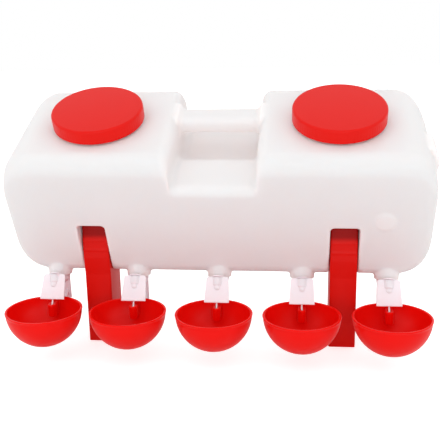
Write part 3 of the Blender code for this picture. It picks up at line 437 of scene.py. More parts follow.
# %% [markdown]
# The tank could be one subdivided cage, but its walls are easier to state as a rule. Along u, each
# station is a rounded rectangle. Near each end all four sides draw in along a squarish quarter curve,
# |along|^p + |across|^p = 1, which rounds the end off. In the middle the top sinks to form the hand
# recess, with a fillet at its floor, another at its rim and a tighter lip at its front.

# %% Tank sizes
tank_box = np.array(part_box("tank_shell"))
TANK_LENGTH = 2 * (middle_x - tank_box[0, 0])
TANK_DEPTH = 0.1575
TANK_HEIGHT = 0.1530
TANK_WALL = 0.003
CORNER_RADII = {"front_bottom": 0.018, "rear_bottom": 0.022, "rear_top": 0.017, "front_top": 0.020}
END_LENGTH = 0.039
END_TOP = 0.049
END_BOTTOM = 0.038
END_FRONT = 0.0145
END_REAR = 0.055
END_POWER = 2.3
RECESS_WIDTH = 0.089
RECESS_FRONT_DEPTH = 0.034
RECESS_REAR_DEPTH = 0.052
RECESS_STEP = (0.050, 0.090)
RECESS_STEP_POINTS = 14
RECESS_FLOOR_RADIUS = 0.007
RECESS_RIM_RADIUS = 0.011
RECESS_LIP_RADIUS = 0.010
ARC_STEPS = 14
ARC_GAP = 0.0002
STEP_GAP = 0.001
print("tank", round(TANK_LENGTH * 1000, 1), "mm long")


# %% The tank's rounded box with its hand recess
def recess_depth(v):
    """The recess floor's depth below the shoulders: level in front, then down to the rear part by a
    smooth step, s^2 (3 - 2s)."""
    share = np.clip((v - RECESS_STEP[0]) / (RECESS_STEP[1] - RECESS_STEP[0]), 0.0, 1.0)
    return RECESS_FRONT_DEPTH + (RECESS_REAR_DEPTH - RECESS_FRONT_DEPTH) * share ** 2 * (3 - 2 * share)


def tank_stations(inset):
    """Along u: the place, how far the end rounding has gone, and how far the recess has sunk."""
    half = TANK_LENGTH / 2 - inset
    reach = END_LENGTH - inset
    wall = RECESS_WIDTH / 2 + inset
    floor = RECESS_FLOOR_RADIUS + inset
    rim = RECESS_RIM_RADIUS - inset
    angle = np.linspace(0.0, pi / 2, ARC_STEPS)
    cosine = np.cos(angle)
    sine = np.sin(angle)
    u = np.concatenate([wall - floor + floor * sine - ARC_GAP, wall + rim * (1 - cosine),
                        half - reach * (1 - sine ** (2 / END_POWER))])
    ending = np.concatenate([np.zeros(2 * ARC_STEPS), 1 - cosine ** (2 / END_POWER)])
    sunk = np.concatenate([RECESS_FRONT_DEPTH - floor * (1 - cosine), rim * (1 - sine),
                           np.zeros(ARC_STEPS)]) / RECESS_FRONT_DEPTH
    return [np.concatenate([side * line[::-1], line]) for side, line in ((-1, u), (1, ending), (1, sunk))]


def tank_skin(name, inset):
    """Rounded rectangles along u: four arcs a station, each centred one radius inside its corner, and the
    step of the recess floor between the two upper ones."""
    u, ending, sunk = (values[:, None] for values in tank_stations(inset))
    front = inset + (END_FRONT - inset) * ending
    back = TANK_DEPTH - inset - (END_REAR - inset) * ending
    bottom = inset + (END_BOTTOM - inset) * ending
    top = TANK_HEIGHT - inset - (END_TOP - inset) * ending
    corners = (("front_bottom", front, bottom, 1, 1, pi),
               ("rear_bottom", back, bottom, -1, 1, 1.5 * pi),
               ("rear_top", back, top - recess_depth(back) * sunk, -1, -1, 0.0),
               ("front_top", front, top - recess_depth(front) * sunk, 1, -1, 0.5 * pi))
    v_parts = []
    w_parts = []
    for corner, v_side, w_side, v_sign, w_sign, start in corners:
        radius = CORNER_RADII[corner] - inset
        if corner == "front_top":
            radius = radius - (CORNER_RADII[corner] - RECESS_LIP_RADIUS) * sunk
        angle = start + np.linspace(0.0, pi / 2, ARC_STEPS)
        v_parts.append(v_side + v_sign * radius + radius * np.cos(angle))
        w_parts.append(w_side + w_sign * radius + radius * np.sin(angle))
        if corner == "rear_top":
            flat_end = back - radius - STEP_GAP
            step = np.linspace(0.0, 1.0, RECESS_STEP_POINTS)[None, :]
            v = RECESS_STEP[1] + (RECESS_STEP[0] - RECESS_STEP[1]) * step
            v = np.minimum(v, flat_end - STEP_GAP * step)
            v_parts.append(v)
            w_parts.append(top - recess_depth(v) * sunk)
    v_all = np.concatenate(v_parts, axis=1)
    rings = np.stack([np.broadcast_to(u, v_all.shape), v_all, np.concatenate(w_parts, axis=1)], axis=-1)
    return stack(name, rings)


tank = tank_skin("tank_skin", 0.0)
print("tank form", len(tank.data.vertices), "points")

# %% [markdown]
# The handle bar is a flattened tube across the recess, flared where it runs into the two shoulders. The
# lug on the right end, the round blank pad on the front and the five outlet necks under the front edge
# are forms of their own, which the next step melts into the tank.

# %% Handle bar, lug and pad
BAR_TOP_DROP = 0.0065
BAR_THICK = 0.0182
BAR_WIDTH = 0.030
BAR_BACK = 0.106
BAR_UP = TANK_HEIGHT - BAR_TOP_DROP - BAR_THICK / 2
BAR_REACH = RECESS_WIDTH / 2 + RECESS_RIM_RADIUS + 0.004
BAR_ROUNDNESS = 0.95
BAR_FLARE = 0.007
BAR_FLARE_GROWTH = 0.8
LUG_REACH = tank_box[1, 0] - middle_x - TANK_LENGTH / 2
LUG_MIDDLE_V = 0.058
LUG_WIDTH = 0.030
LUG_TOP_W = TANK_HEIGHT - 0.011
LUG_SIDE = ((-0.030, 0.0), (-0.0035, 0.0), (LUG_REACH * 0.3, -0.010), (LUG_REACH, -0.019),
            (LUG_REACH, -0.025), (LUG_REACH * 0.3, -0.036), (-0.001, -0.040), (-0.030, -0.040))
PAD_AT = (0.174, 0.080)
PAD_RADIUS = 0.0105
PAD_RISE = 0.0010
PAD_ROOT = 0.004
PAD_RIM = 0.0004


def bar_form(name, inset):
    """A rounded flat section along u, which grows by 1 - sqrt(1 - t^2) just before each wall."""
    half_width = BAR_WIDTH / 2 - inset
    half_height = BAR_THICK / 2 - inset
    section = rectangle(-half_width, half_width, -half_height, half_height)
    outline = soften(section, half_height * BAR_ROUNDNESS, 8, closed=True)
    near = RECESS_WIDTH / 2 - BAR_FLARE + BAR_FLARE * np.linspace(0.0, 1.0, 10)
    u = np.concatenate([-near[::-1], near])
    share = np.clip((np.abs(u) - near[0]) / BAR_FLARE, 0.0, 1.0)
    growth = BAR_FLARE * (1 - np.sqrt(1 - share ** 2)) * (0.0 if inset else BAR_FLARE_GROWTH)
    u = np.concatenate([[-BAR_REACH - inset], u, [BAR_REACH + inset]])
    growth = np.concatenate([[growth[0]], growth, [growth[-1]]])[:, None]
    v = BAR_BACK + outline[:, 0] * (1 + growth / half_width)
    w = BAR_UP + outline[:, 1] * (1 + growth / half_height)
    return stack(name, np.stack([np.broadcast_to(u[:, None], v.shape), v, w], axis=-1))


def lug_form():
    """The moulded lug: a side view with a soft nose, from the end wall, carried across its width."""
    outline = soften(np.array(LUG_SIDE) + (TANK_LENGTH / 2, LUG_TOP_W), 0.003, 4, closed=True)
    return slab("lug", outline, LUG_MIDDLE_V - LUG_WIDTH / 2, LUG_MIDDLE_V + LUG_WIDTH / 2, "xzy", 0.002)


def pad_form():
    """A round blank pad on the front wall, its rim rounded."""
    return slab("pad", circle(PAD_RADIUS, 64, PAD_AT), -PAD_RISE, PAD_ROOT, "xzy", PAD_RIM)


# %% Outlet necks
BOWL_COUNT = 5
seal_boxes = [np.array(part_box(f"nozzle_seal_{n}")) for n in range(1, BOWL_COUNT + 1)]
bowl_xs = [(low[0] + high[0]) / 2 for low, high in seal_boxes]
seal_low, seal_high = seal_boxes[0]
outlet_y = (seal_low[1] + seal_high[1]) / 2
SEAL_GAP = 0.0003
OUTLET_RADIUS = 0.0118
OUTLET_RIM = 0.0006
OUTLET_BORE_RADIUS = 0.0076
OUTLET_BORE_RUN = 0.022
OUTLET_END_UP = seal_high[2] + SEAL_GAP
OUTLET_DOME = 0.0180
OUTLET_DOME_RADIUS = 0.009
OUTLET_COLLAR = 0.0060
OUTLET_SPREAD = (1.12, 0.90)
FLARE_REACH = 0.0085
FLARE_LOW = 0.001
FLARE_HEIGHT = 0.0075
FLARE_TOP = 0.004 + FLARE_HEIGHT
FLARE_INSET = 0.0004
FLARE_BACK = 0.0050
FLARE_DEPTH_SHARE = 0.45


def outlet_place(x):
    """Where one outlet stands, spread a little to its sides and squeezed from front to back."""
    return shift(x, outlet_y, OUTLET_END_UP) @ Matrix.Diagonal((*OUTLET_SPREAD, 1.0, 1.0))


def outlet_forms(x):
    """One round neck with a domed top, and a flare to its sides that rises along a quarter circle."""
    at = outlet_place(x)
    neck = rod("neck", OUTLET_RADIUS, 0.0, OUTLET_DOME, 48, (OUTLET_RIM, OUTLET_DOME_RADIUS), 8)
    middle = (OUTLET_RADIUS - FLARE_INSET + FLARE_REACH, FLARE_LOW)
    line = [(0.0, FLARE_LOW), *arc((-FLARE_REACH, FLARE_HEIGHT), 0.0, pi / 2, 12, middle),
            (OUTLET_RADIUS + FLARE_REACH, FLARE_TOP), (0.0, FLARE_TOP)]
    squeeze = shift(0.0, FLARE_BACK, 0.0) @ Matrix.Diagonal((1.0, FLARE_DEPTH_SHARE, 1.0, 1.0))
    return [place(neck, at), place(turned("flare", line, 48), at @ squeeze)]


print("outlets at x", [round(x * 1000, 1) for x in bowl_xs], "mm")

# %% [markdown]
# Two upright slots in the front hold the legs. Each is a straight cut with round upper corners, and has
# grooves at its sides for the leg's tongues.

# %% Leg slots
LEG_SPACING = right_leg_box[0, 0] - left_leg_box[0, 0]
LEG_HALF_WIDTH = 0.0145
LEG_DEPTH = 0.042
LEG_TOP_UP = left_leg_box[1, 2]
LEG_CLEARANCE = 0.0008
LEG_TOP_GAP = 0.0004
SLOT_CORNER = 0.004
SLOT_AHEAD = 0.08
TONGUE_REACH = 0.0040
TONGUE_THICK = 0.0050
TONGUE_BACK = 0.024
TONGUE_DROP = 0.046


def slot_form(x, grow):
    """The room of one leg, with round upper corners, from ahead of the tank to the slot's back wall. It
    is grown evenly when asked."""
    half = LEG_HALF_WIDTH + LEG_CLEARANCE + grow
    bend = half - SLOT_CORNER
    bend_up = LEG_TOP_UP + LEG_TOP_GAP + grow - SLOT_CORNER
    outline = [(x - half, 0.0), (x + half, 0.0), *arc(SLOT_CORNER, 0.0, pi / 2, 8, (x + bend, bend_up)),
               *arc(SLOT_CORNER, pi / 2, pi, 8, (x - bend, bend_up))]
    back = leg_front + LEG_DEPTH + LEG_CLEARANCE + grow
    return slab("slot", outline, leg_front - SLOT_AHEAD, back, "xzy")


def groove_form(x, grow):
    """The room of both tongues of one leg."""
    half = LEG_HALF_WIDTH + LEG_CLEARANCE + TONGUE_REACH + grow
    front = leg_front + TONGUE_BACK - LEG_CLEARANCE / 2 - grow
    back = leg_front + TONGUE_BACK + TONGUE_THICK + LEG_CLEARANCE / 2 + grow
    top = LEG_TOP_UP + LEG_TOP_GAP - SLOT_CORNER + grow
    return slab("groove", rectangle(x - half, x + half, front, back), 0.0, top)


leg_xs = [middle_x - LEG_SPACING / 2, middle_x + LEG_SPACING / 2]
print("legs at x", [round(x * 1000, 1) for x in leg_xs], "mm")

# %% [markdown]
# Blow moulding stretches one soft skin over every step of the mould, so no junction on the tank is
# sharp. The same look comes from melting: the forms are joined, remade as an even skin of small
# squares, relaxed a little so that each edge rounds off, and thinned out again where the skin is flat.

# %% Melt the outside of the tank
MELT_SIZE = 0.0013
RELAX_STEPS = 6
SKIN_TRIANGLES = 150000

carve(tank, [bar_form("bar", 0.0), lug_form(), pad_form()], "UNION")
place(tank, on_tank)
carve(tank, [form for x in bowl_xs for form in outlet_forms(x)], "UNION")
carve(tank, [slot_form(x, 0.0) for x in leg_xs], "DIFFERENCE")
melt = tank.modifiers.new("melt", "REMESH")
melt.mode = "VOXEL"
melt.voxel_size = MELT_SIZE
relax = tank.modifiers.new("relax", "SMOOTH")
relax.factor = 0.5
relax.iterations = RELAX_STEPS
settle(tank)
quads = len(tank.data.polygons)
thin = tank.modifiers.new("thin", "DECIMATE")
thin.ratio = SKIN_TRIANGLES / (2 * quads)
settle(tank)
print("skin", quads, "squares, thinned to", len(tank.data.polygons), "triangles")

# %% [markdown]
# The filler necks stay crisp under their caps, and so do the ends of the outlet necks that hold the
# valves, so they are joined after the melt. Each filler neck carries one helical ridge: a small
# trapezoid carried along a helix, which grows from nothing and dies away again.

# %% Filler necks and their threads
CAP_SPACING = 0.256
CAP_BACK = 0.078
CAP_RADIUS = 0.049
CAP_INNER_RADIUS = CAP_RADIUS - 0.0028
THREAD_PITCH = 0.006
THREAD_TURNS = 1.25
THREAD_RISE = 0.0014
THREAD_ROOT = 0.0008
THREAD_SECTION_UPS = (-0.0011, 0.0011, 0.0005, -0.0005)
THREAD_START = TANK_HEIGHT + 0.003
NECK_RADIUS = CAP_INNER_RADIUS - THREAD_RISE - 0.0007
NECK_BORE_RADIUS = NECK_RADIUS - 0.003
NECK_FOOT = TANK_HEIGHT - 0.012
NECK_TOP = TANK_HEIGHT + 0.0132
BORE_EXTRA = 0.01
cap_places = {"left": -CAP_SPACING / 2, "right": CAP_SPACING / 2}


def thread(name, core_radius, start_up, inward, steps_per_turn=96):
    """One helical ridge: (r cos a, r sin a, start + pitch a / 2 pi), with a trapezoid for its section."""
    steps = int(steps_per_turn * THREAD_TURNS)
    k = np.arange(steps + 1)[:, None]
    angle = 2 * pi * k / steps_per_turn
    fade = steps_per_turn / 8
    share = np.clip(np.minimum((k + 0.4) / fade, (steps - k + 0.4) / fade), 0.0, 1.0)
    sign = -1.0 if inward else 1.0
    crest = sign * THREAD_RISE * share
    root = np.full_like(share, -sign * THREAD_ROOT)
    radius = core_radius + np.concatenate([root, root, crest, crest], axis=1)
    height = start_up + THREAD_PITCH * k / steps_per_turn + np.array(THREAD_SECTION_UPS)
    return stack(name, np.stack([radius * np.cos(angle), radius * np.sin(angle), height], axis=-1))


def neck_forms(u):
    """A round neck with a softened lip, and its thread, in the world."""
    at = on_tank @ shift(u, CAP_BACK, 0.0)
    neck = rod("neck", NECK_RADIUS, NECK_FOOT, NECK_TOP, 128, (0.0004, 0.0007), 3)
    return [place(neck, at), place(thread("thread", NECK_RADIUS, THREAD_START, False), at)]


def outlet_collar(x):
    """The crisp lower end of one outlet neck."""
    return place(rod("collar", OUTLET_RADIUS, 0.0, OUTLET_COLLAR, 64, (0.0005, 0.0008)), outlet_place(x))


necks = [form for u in cap_places.values() for form in neck_forms(u)]
carve(tank, necks + [outlet_collar(x) for x in bowl_xs], "UNION")
print("with necks", len(tank.data.polygons), "faces")

# %% [markdown]
# The tank is hollow, and an open neck shows it. Its inside is the same rule with the wall taken off,
# less the walls round the leg slots, plus the bores of the necks, the outlets and the hollow bar.

# %% Hollow the tank
inside = place(tank_skin("tank_inside", TANK_WALL), on_tank)
carve(inside, [form(x, TANK_WALL) for x in leg_xs for form in (slot_form, groove_form)], "DIFFERENCE")
bores = [place(bar_form("bar_bore", TANK_WALL), on_tank)]
for u in cap_places.values():
    bore = rod("bore", NECK_BORE_RADIUS, NECK_FOOT - 0.008, NECK_TOP + BORE_EXTRA, 128)
    bores.append(place(bore, on_tank @ shift(u, CAP_BACK, 0.0)))
for x in bowl_xs:
    bore = rod("bore", OUTLET_BORE_RADIUS, -BORE_EXTRA, OUTLET_BORE_RUN, 48)
    bores.append(place(bore, shift(x, outlet_y, OUTLET_END_UP)))
carve(inside, bores, "UNION")
carve(tank, [groove_form(x, 0.0) for x in leg_xs] + [inside], "DIFFERENCE")
finish_piece(tank, tank_plastic, "tank", ["tank_shell"], sharp=50)
print("hollow tank", len(tank.data.polygons), "faces")

# %% [markdown]
# Each screw cap is a turned profile: a skirt, a round shoulder and a flat top. Fine grip ribs, worn
# nearly smooth, run down the skirt. They are part of the turning: the radius drops by a small rounded
# wave, |sin|, that fades out at the skirt's two edges. A sealing disc lies between cap and neck.

# %% Screw caps
LINER_RADIUS = 0.04445
LINER_THICK = 0.0014
LINER_GAP = 0.0003
CAP_SKIRT = 0.0150
CAP_TOP_THICK = 0.0020
CAP_BOTTOM_UP = NECK_TOP + LINER_GAP + LINER_THICK + LINER_GAP + CAP_TOP_THICK - CAP_SKIRT
CAP_SHOULDER = 0.0028
CAP_RIBS = 90
CAP_RIB_DEPTH = 0.00012
CAP_RIB_FADE = 0.001
CAP_RIB_LOW = 0.0006
CAP_RIB_HIGH = CAP_SKIRT - CAP_SHOULDER


def cap_form(name):
    """The cap about its own axis: radius = profile - depth x rib wave x fade."""
    ceiling = CAP_SKIRT - CAP_TOP_THICK
    skirt_ups = np.linspace(2 * CAP_RIB_LOW, CAP_SKIRT - 2 * CAP_SHOULDER - 0.0002, 10)
    corners = [(0.0, ceiling), (CAP_INNER_RADIUS, ceiling), (CAP_INNER_RADIUS, 0.0), (CAP_RADIUS, 0.0),
               *((CAP_RADIUS, up) for up in skirt_ups), (CAP_RADIUS, CAP_SKIRT), (0.0, CAP_SKIRT)]
    cuts = [0.0, 0.0008, 0.0003, 0.0005] + [0.0003] * len(skirt_ups) + [CAP_SHOULDER, 0.0]
    profile = soften(corners, cuts, 8)
    angle = np.linspace(0.0, 2 * pi, CAP_RIBS * 6, endpoint=False)
    wave = 1 - np.abs(np.sin(angle * CAP_RIBS / 2)) ** 0.7
    radius = profile[1:-1, :1]
    up = profile[1:-1, 1:]
    fade = np.clip(np.minimum(up - CAP_RIB_LOW, CAP_RIB_HIGH - up) / CAP_RIB_FADE, 0.0, 1.0)
    outer = radius > (CAP_INNER_RADIUS + CAP_RADIUS) / 2
    radius = radius - CAP_RIB_DEPTH * fade * outer * wave
    height = np.broadcast_to(up, radius.shape)
    rings = np.stack([radius * np.cos(angle), radius * np.sin(angle), height], axis=-1)
    return stack(name, rings, [(0, 0, profile[0, 1]), (0, 0, profile[-1, 1])])


for side, u in cap_places.items():
    cap = cap_form(f"{side}_cap_skin")
    ridge = thread("ridge", CAP_INNER_RADIUS, THREAD_START - CAP_BOTTOM_UP + THREAD_PITCH / 2, True)
    carve(cap, [ridge], "UNION")
    place(cap, on_tank @ shift(u, CAP_BACK, CAP_BOTTOM_UP))
    finish_piece(cap, cap_plastic, f"{side}_cap", [f"{side}_cap"], sharp=45)
    liner = rod(f"{side}_liner_disc", LINER_RADIUS, 0.0, LINER_THICK, 96, (0.0004, 0.0004), 3)
    place(liner, on_tank @ shift(u, CAP_BACK, NECK_TOP + LINER_GAP))
    finish_piece(liner, seal_rubber, f"{side}_liner", [f"{side}_cap_liner"])
print("cap", len(cap.data.polygons), "faces")

# %% [markdown]
# A leg is a moulded channel, open at the back, with a foot that runs rearwards under the tank. Its front
# face leans out to a head, which has a fine bead at its crest, and back in again to the top. The form is
# a stack of rounded rectangles whose front points follow that line.

# %% Leg sizes and its front line
LEG_WALL = 0.0026
LEG_EDGES = (0.0022, 0.0022, 0.0008, 0.0008)
LEG_FACE_UPS = (0.0, 0.080, 0.104, 0.112, LEG_TOP_UP)
LEG_FACE_REACH = (0.0, 0.0, LEG_HEAD_REACH, LEG_HEAD_REACH, 0.0)
LEG_BEAD_UPS = (0.1085, 0.1195)
LEG_BEAD_RISE = 0.0006
LEG_BEAD_SPREAD = 0.0011
FOOT_LENGTH = left_leg_box[1, 1] - leg_front
FOOT_THICK = 0.004
FOOT_CORNERS = (0.0004, 0.0004, 0.006, 0.006)
RIB_THICK = 0.0026
RIB_HEIGHT = 0.030
RIB_LOW = 0.001


def leg_face(up, beads=True):
    """How far the front stands ahead of the foot line: straight stretches between levels, plus beads."""
    reach = np.interp(up, LEG_FACE_UPS, LEG_FACE_REACH)
    if beads:
        reach = np.minimum(reach, LEG_HEAD_REACH - LEG_BEAD_RISE)
        for bead_up in LEG_BEAD_UPS:
            reach = reach + LEG_BEAD_RISE * np.exp(-((up - bead_up) / LEG_BEAD_SPREAD) ** 2)
    return reach


def leg_stack(name, ups, half, front, back, edge, top_corner, beads):
    """Rounded rectangles up the leg. Near the top their width follows a quarter circle. Their front
    points move ahead by the face's reach, in proportion to how far forward they are."""
    outline = soften(rectangle(-half, half, front, back), edge, 5, closed=True)
    over = np.clip(ups - (ups[-1] - top_corner), 0.0, top_corner)
    width = half - top_corner + np.sqrt(top_corner ** 2 - over ** 2)
    x = outline[None, :, 0] * (width / half)[:, None]
    ahead = (back - outline[None, :, 1]) / (back - front)
    y = outline[None, :, 1] - ahead * leg_face(ups, beads)[:, None]
    rings = np.stack([x, y, np.broadcast_to(ups[:, None], x.shape)], axis=-1)
    return stack(name, rings)


# %% Both legs
def leg_form(name):
    """The leg about the middle of its front foot line."""
    crown = LEG_TOP_UP - SLOT_CORNER
    ups = np.concatenate([[0.0, 0.0004], np.linspace(0.002, crown, 110),
                          crown + SLOT_CORNER * np.sin(np.linspace(0.1, pi / 2, 9))])
    leg = leg_stack(name, ups, LEG_HALF_WIDTH, 0.0, LEG_DEPTH, LEG_EDGES, SLOT_CORNER, True)
    room_ups = np.linspace(FOOT_THICK, LEG_TOP_UP - LEG_WALL, 40)
    room = leg_stack("room", room_ups, LEG_HALF_WIDTH - LEG_WALL, LEG_WALL, LEG_DEPTH + BORE_EXTRA,
                     LEG_EDGES[-1], 0.0, False)
    foot_plan = soften(rectangle(-LEG_HALF_WIDTH, LEG_HALF_WIDTH, LEG_DEPTH - 2 * OVERLAP, FOOT_LENGTH),
                       FOOT_CORNERS, 6, closed=True)
    rib_front = LEG_WALL - OVERLAP
    rib_back = FOOT_LENGTH - 0.004
    rib_side = soften([(rib_front, RIB_LOW), (rib_back, RIB_LOW), (rib_back, FOOT_THICK + 0.002),
                       (LEG_DEPTH, RIB_HEIGHT), (rib_front, RIB_HEIGHT)],
                      [0.0003, 0.0003, 0.001, 0.006, 0.0003], 5, closed=True)
    additions = [slab("foot", foot_plan, 0.0, FOOT_THICK, "xyz", 0.0006),
                 slab("rib", rib_side, -RIB_THICK / 2, RIB_THICK / 2, "yzx", 0.0004)]
    for side in (-1, 1):
        plan = soften(rectangle(side * (LEG_HALF_WIDTH - OVERLAP), side * (LEG_HALF_WIDTH + TONGUE_REACH),
                                TONGUE_BACK, TONGUE_BACK + TONGUE_THICK), 0.0006, 3, closed=True)
        additions.append(slab("tongue", plan, LEG_TOP_UP - TONGUE_DROP, crown - LEG_WALL, "xyz", 0.0005))
    carve(leg, [room], "DIFFERENCE")
    return carve(leg, additions, "UNION")


for side, x in zip(("left", "right"), leg_xs):
    leg = place(leg_form(f"{side}_leg_skin"), shift(x, leg_front, 0.0))
    finish_piece(leg, leg_plastic, f"{side}_leg", [f"{side}_leg"])
print("leg", len(leg.data.polygons), "faces")

# %% [markdown]
# A bowl is half a sphere with a fine lip, turned from one profile. At its back a boss holds the valve's
# stem, and an eye below takes the hinge pin. All bowls are alike, so one function makes each.

# %% Valve line and hinge, from the frame
VALVE_SLANT = radians(32.0)
VALVE_AHEAD = 0.01935
VALVE_UP = 0.0570
STEM_BALL_DROP = 0.0095
HINGE_REACH = 0.0202
valve_y = leg_front - VALVE_AHEAD
ball_y = valve_y - STEM_BALL_DROP * sin(VALVE_SLANT)
ball_up = VALVE_UP - STEM_BALL_DROP * cos(VALVE_SLANT)
hinge_y = ball_y + HINGE_REACH * cos(VALVE_SLANT)
hinge_up = ball_up - HINGE_REACH * sin(VALVE_SLANT)
pin_box = np.array(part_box("hinge_pin_1"))
off_pin = pin_box.mean(axis=0)[1:] - (hinge_y, hinge_up)
print("hinge off the pin by", np.round(off_pin * 1000, 3).tolist(), "mm")

# %% Bowls
BOWL_RADIUS = 0.040
BOWL_WALL = 0.0018
BOWL_LIP = 0.0005
BOWL_LIP_HEIGHT = 0.0012
BOWL_AHEAD = 0.0488
BOWL_RIM_UP = 0.0565
BOSS_RADIUS = 0.0042
BOSS_TOP_UP = 0.0526
BOSS_FOOT_UP = 0.0390
EYE_RADIUS = 0.0032
EYE_WIDTH = 0.0080
EYE_ROOT = 0.0040
BALL_RADIUS = 0.0016
BALL_ROOM = 0.0006
STEM_RADIUS = 0.0009
STEM_ROOM = 0.0005
HINGE_BORE_RADIUS = 0.00155


def bowl_form(name):
    """The bowl about its hinge: outside and inside are quarter circles about the rim's middle."""
    rim = BOWL_RIM_UP - hinge_up
    middle_y = leg_front - BOWL_AHEAD - hinge_y
    inner = BOWL_RADIUS - BOWL_WALL
    outside = arc(BOWL_RADIUS, -pi / 2, radians(-3), 34, (0.0, rim))
    inside_line = arc(inner, -pi / 2, radians(-3), 34, (0.0, rim))
    outer = BOWL_RADIUS + BOWL_LIP
    lip = soften([outside[-1], (outer, rim - BOWL_LIP_HEIGHT), (outer, rim), (inner, rim),
                  inside_line[-1]], [0.0, 0.0006, 0.0006, 0.0008, 0.0], 5)
    bowl = turned(name, np.concatenate([outside[:-1], lip, inside_line[-2::-1]]), 112, (0.0, middle_y))

    ball = (ball_y - hinge_y, ball_up - hinge_up)
    boss_top = BOSS_TOP_UP - hinge_up
    boss_front = arc(BOSS_RADIUS, pi, 2 * pi, 17, (0.0, ball[0]))
    boss_plan = [*boss_front, (BOSS_RADIUS, 0.0), (-BOSS_RADIUS, 0.0)]
    boss = slab("boss", boss_plan, BOSS_FOOT_UP - hinge_up, boss_top, "xyz", 0.0006)
    keep = [*arc(BOWL_RADIUS - BOWL_WALL / 2, -pi / 2, 0.0, 30, (0.0, rim)), (0.0, rim)]
    carve(boss, [turned("keep", keep, 96, (0.0, middle_y))], "INTERSECT")

    to_middle = Vector((middle_y, rim)).normalized()
    across = Vector((-to_middle.y, to_middle.x))
    root = to_middle * (Vector((middle_y, rim)).length - BOWL_RADIUS + BOWL_WALL * 0.4)
    nose = arc(EYE_RADIUS, -pi / 2, pi / 2, 15) @ np.array([-to_middle, across])
    eye_side = [root + across * EYE_ROOT, root - across * EYE_ROOT, *nose]
    eye = slab("eye", eye_side, -EYE_WIDTH / 2, EYE_WIDTH / 2, "yzx", 0.0003)
    carve(bowl, [boss, eye], "UNION")

    room = BALL_RADIUS + BALL_ROOM
    cavity = slab("cavity", rectangle(-room, room, ball[0] - room, ball[0] + room),
                  ball[1] - room, ball[1] + BALL_RADIUS + 0.0003)
    neck_room = STEM_RADIUS + STEM_ROOM
    stem_front = ball[0] - neck_room / cos(VALVE_SLANT)
    stem_back = ball[0] + (boss_top - ball[1]) * tan(VALVE_SLANT) + neck_room / cos(VALVE_SLANT)
    slit_plan = rectangle(-neck_room, neck_room, stem_front, stem_back)
    slit = slab("slit", slit_plan, ball[1], boss_top + OVERLAP)
    reach = EYE_WIDTH / 2 + OVERLAP
    hole = slab("hole", circle(HINGE_BORE_RADIUS, 24), -reach, reach, "yzx")
    return carve(bowl, [cavity, slit, hole], "DIFFERENCE")


for n, x in enumerate(bowl_xs, start=1):
    bowl = place(bowl_form(f"bowl_{n}_skin"), shift(x, hinge_y, hinge_up))
    finish_piece(bowl, bowl_plastic, f"bowl_{n}", [f"bowl_{n}"])
print("bowl", len(bowl.data.polygons), "faces")

# %% [markdown]
# A valve body is the most worked piece. A flange under the outlet neck carries an arm to a leaning
# chamber, whose round lower end shows as a bullet shape on the slanted front plate. A second plate
# stands behind, and two ears reach down to the hinge pin. All lengths along the leaning axis are
# measured up from the front plate's lower edge.

# %% Valve body sizes
FLANGE_TOP_UP = seal_low[2] - SEAL_GAP
FLANGE_THICK = 0.0030
FLANGE_RADIUS = 0.0105
SPIGOT_RADIUS = OUTLET_BORE_RADIUS - 0.0004
SPIGOT_TOP_UP = OUTLET_END_UP + 0.0150
ARM_TOP_UP = FLANGE_TOP_UP - 0.0008
ARM_BOTTOM_UP = ARM_TOP_UP - 0.0070
ARM_WIDTH = 0.0100
PASSAGE = 0.0032
CHAMBER_RADIUS = 0.0047
CHAMBER_BORE_RADIUS = 0.0031
CHAMBER_LOW = 0.0115
CHAMBER_DOME = 0.0040
SEAT = CHAMBER_LOW + 0.0020
STEM_BORE_RADIUS = 0.0014
HEAD_RADIUS = 0.0057
HEAD_BORE_RADIUS = 0.0047
HEAD_LOW = 0.0185
HEAD_HIGH = 0.0268
SPRING_FLOOR_RISE = 0.0014
PLUG_RADIUS = 0.0070
PLUG_THICK = 0.0026
PLUG_RIM = 0.0008
SUPPLY_RADIUS = 0.0045
PLATE_TOP_WIDTH = 0.0240
PLATE_BOTTOM_WIDTH = 0.0270
PLATE_AHEAD = 0.0032
PLATE_LOW = -0.0010
PLATE_HIGH = 0.0275
PLATE_THICK = 0.0018
PLATE_CORNERS = (0.0008, 0.0008, 0.003, 0.003)
PLATE_RIM = 0.0005
REAR_PLATE_TOP_WIDTH = 0.0200
REAR_PLATE_BOTTOM_WIDTH = 0.0185
REAR_PLATE_TOP_UP = FLANGE_TOP_UP - 0.0008
REAR_PLATE_BOTTOM_BACK = 0.0040
REAR_PLATE_BOTTOM_UP = 0.0450
EAR_GAP = 0.0005
EAR_THICK = 0.0024


def plate_form(top_width, bottom_width, top_up, bottom_up):
    """A tapered plate in (x, z) with round corners and softened rims, its front on y = 0."""
    corners = [(-bottom_width / 2, bottom_up), (bottom_width / 2, bottom_up),
               (top_width / 2, top_up), (-top_width / 2, top_up)]
    outline = soften(corners, PLATE_CORNERS, 5, closed=True)
    return slab("plate", outline, 0.0, PLATE_THICK, "xzy", PLATE_RIM)


def ear_form(side):
    """One ear, from the rear plate forward to the hinge pin."""
    near = side * (EYE_WIDTH / 2 + EAR_GAP)
    far = side * (EYE_WIDTH / 2 + EAR_GAP + EAR_THICK)
    outline = [(REAR_PLATE_BOTTOM_BACK + 0.001, REAR_PLATE_BOTTOM_UP),
               (REAR_PLATE_BOTTOM_BACK, REAR_PLATE_BOTTOM_UP + 0.012),
               *arc(EYE_RADIUS, radians(110), radians(270), 15, (hinge_y - outlet_y, hinge_up))]
    return slab("ear", outline, min(near, far), max(near, far), "yzx", 0.0003)


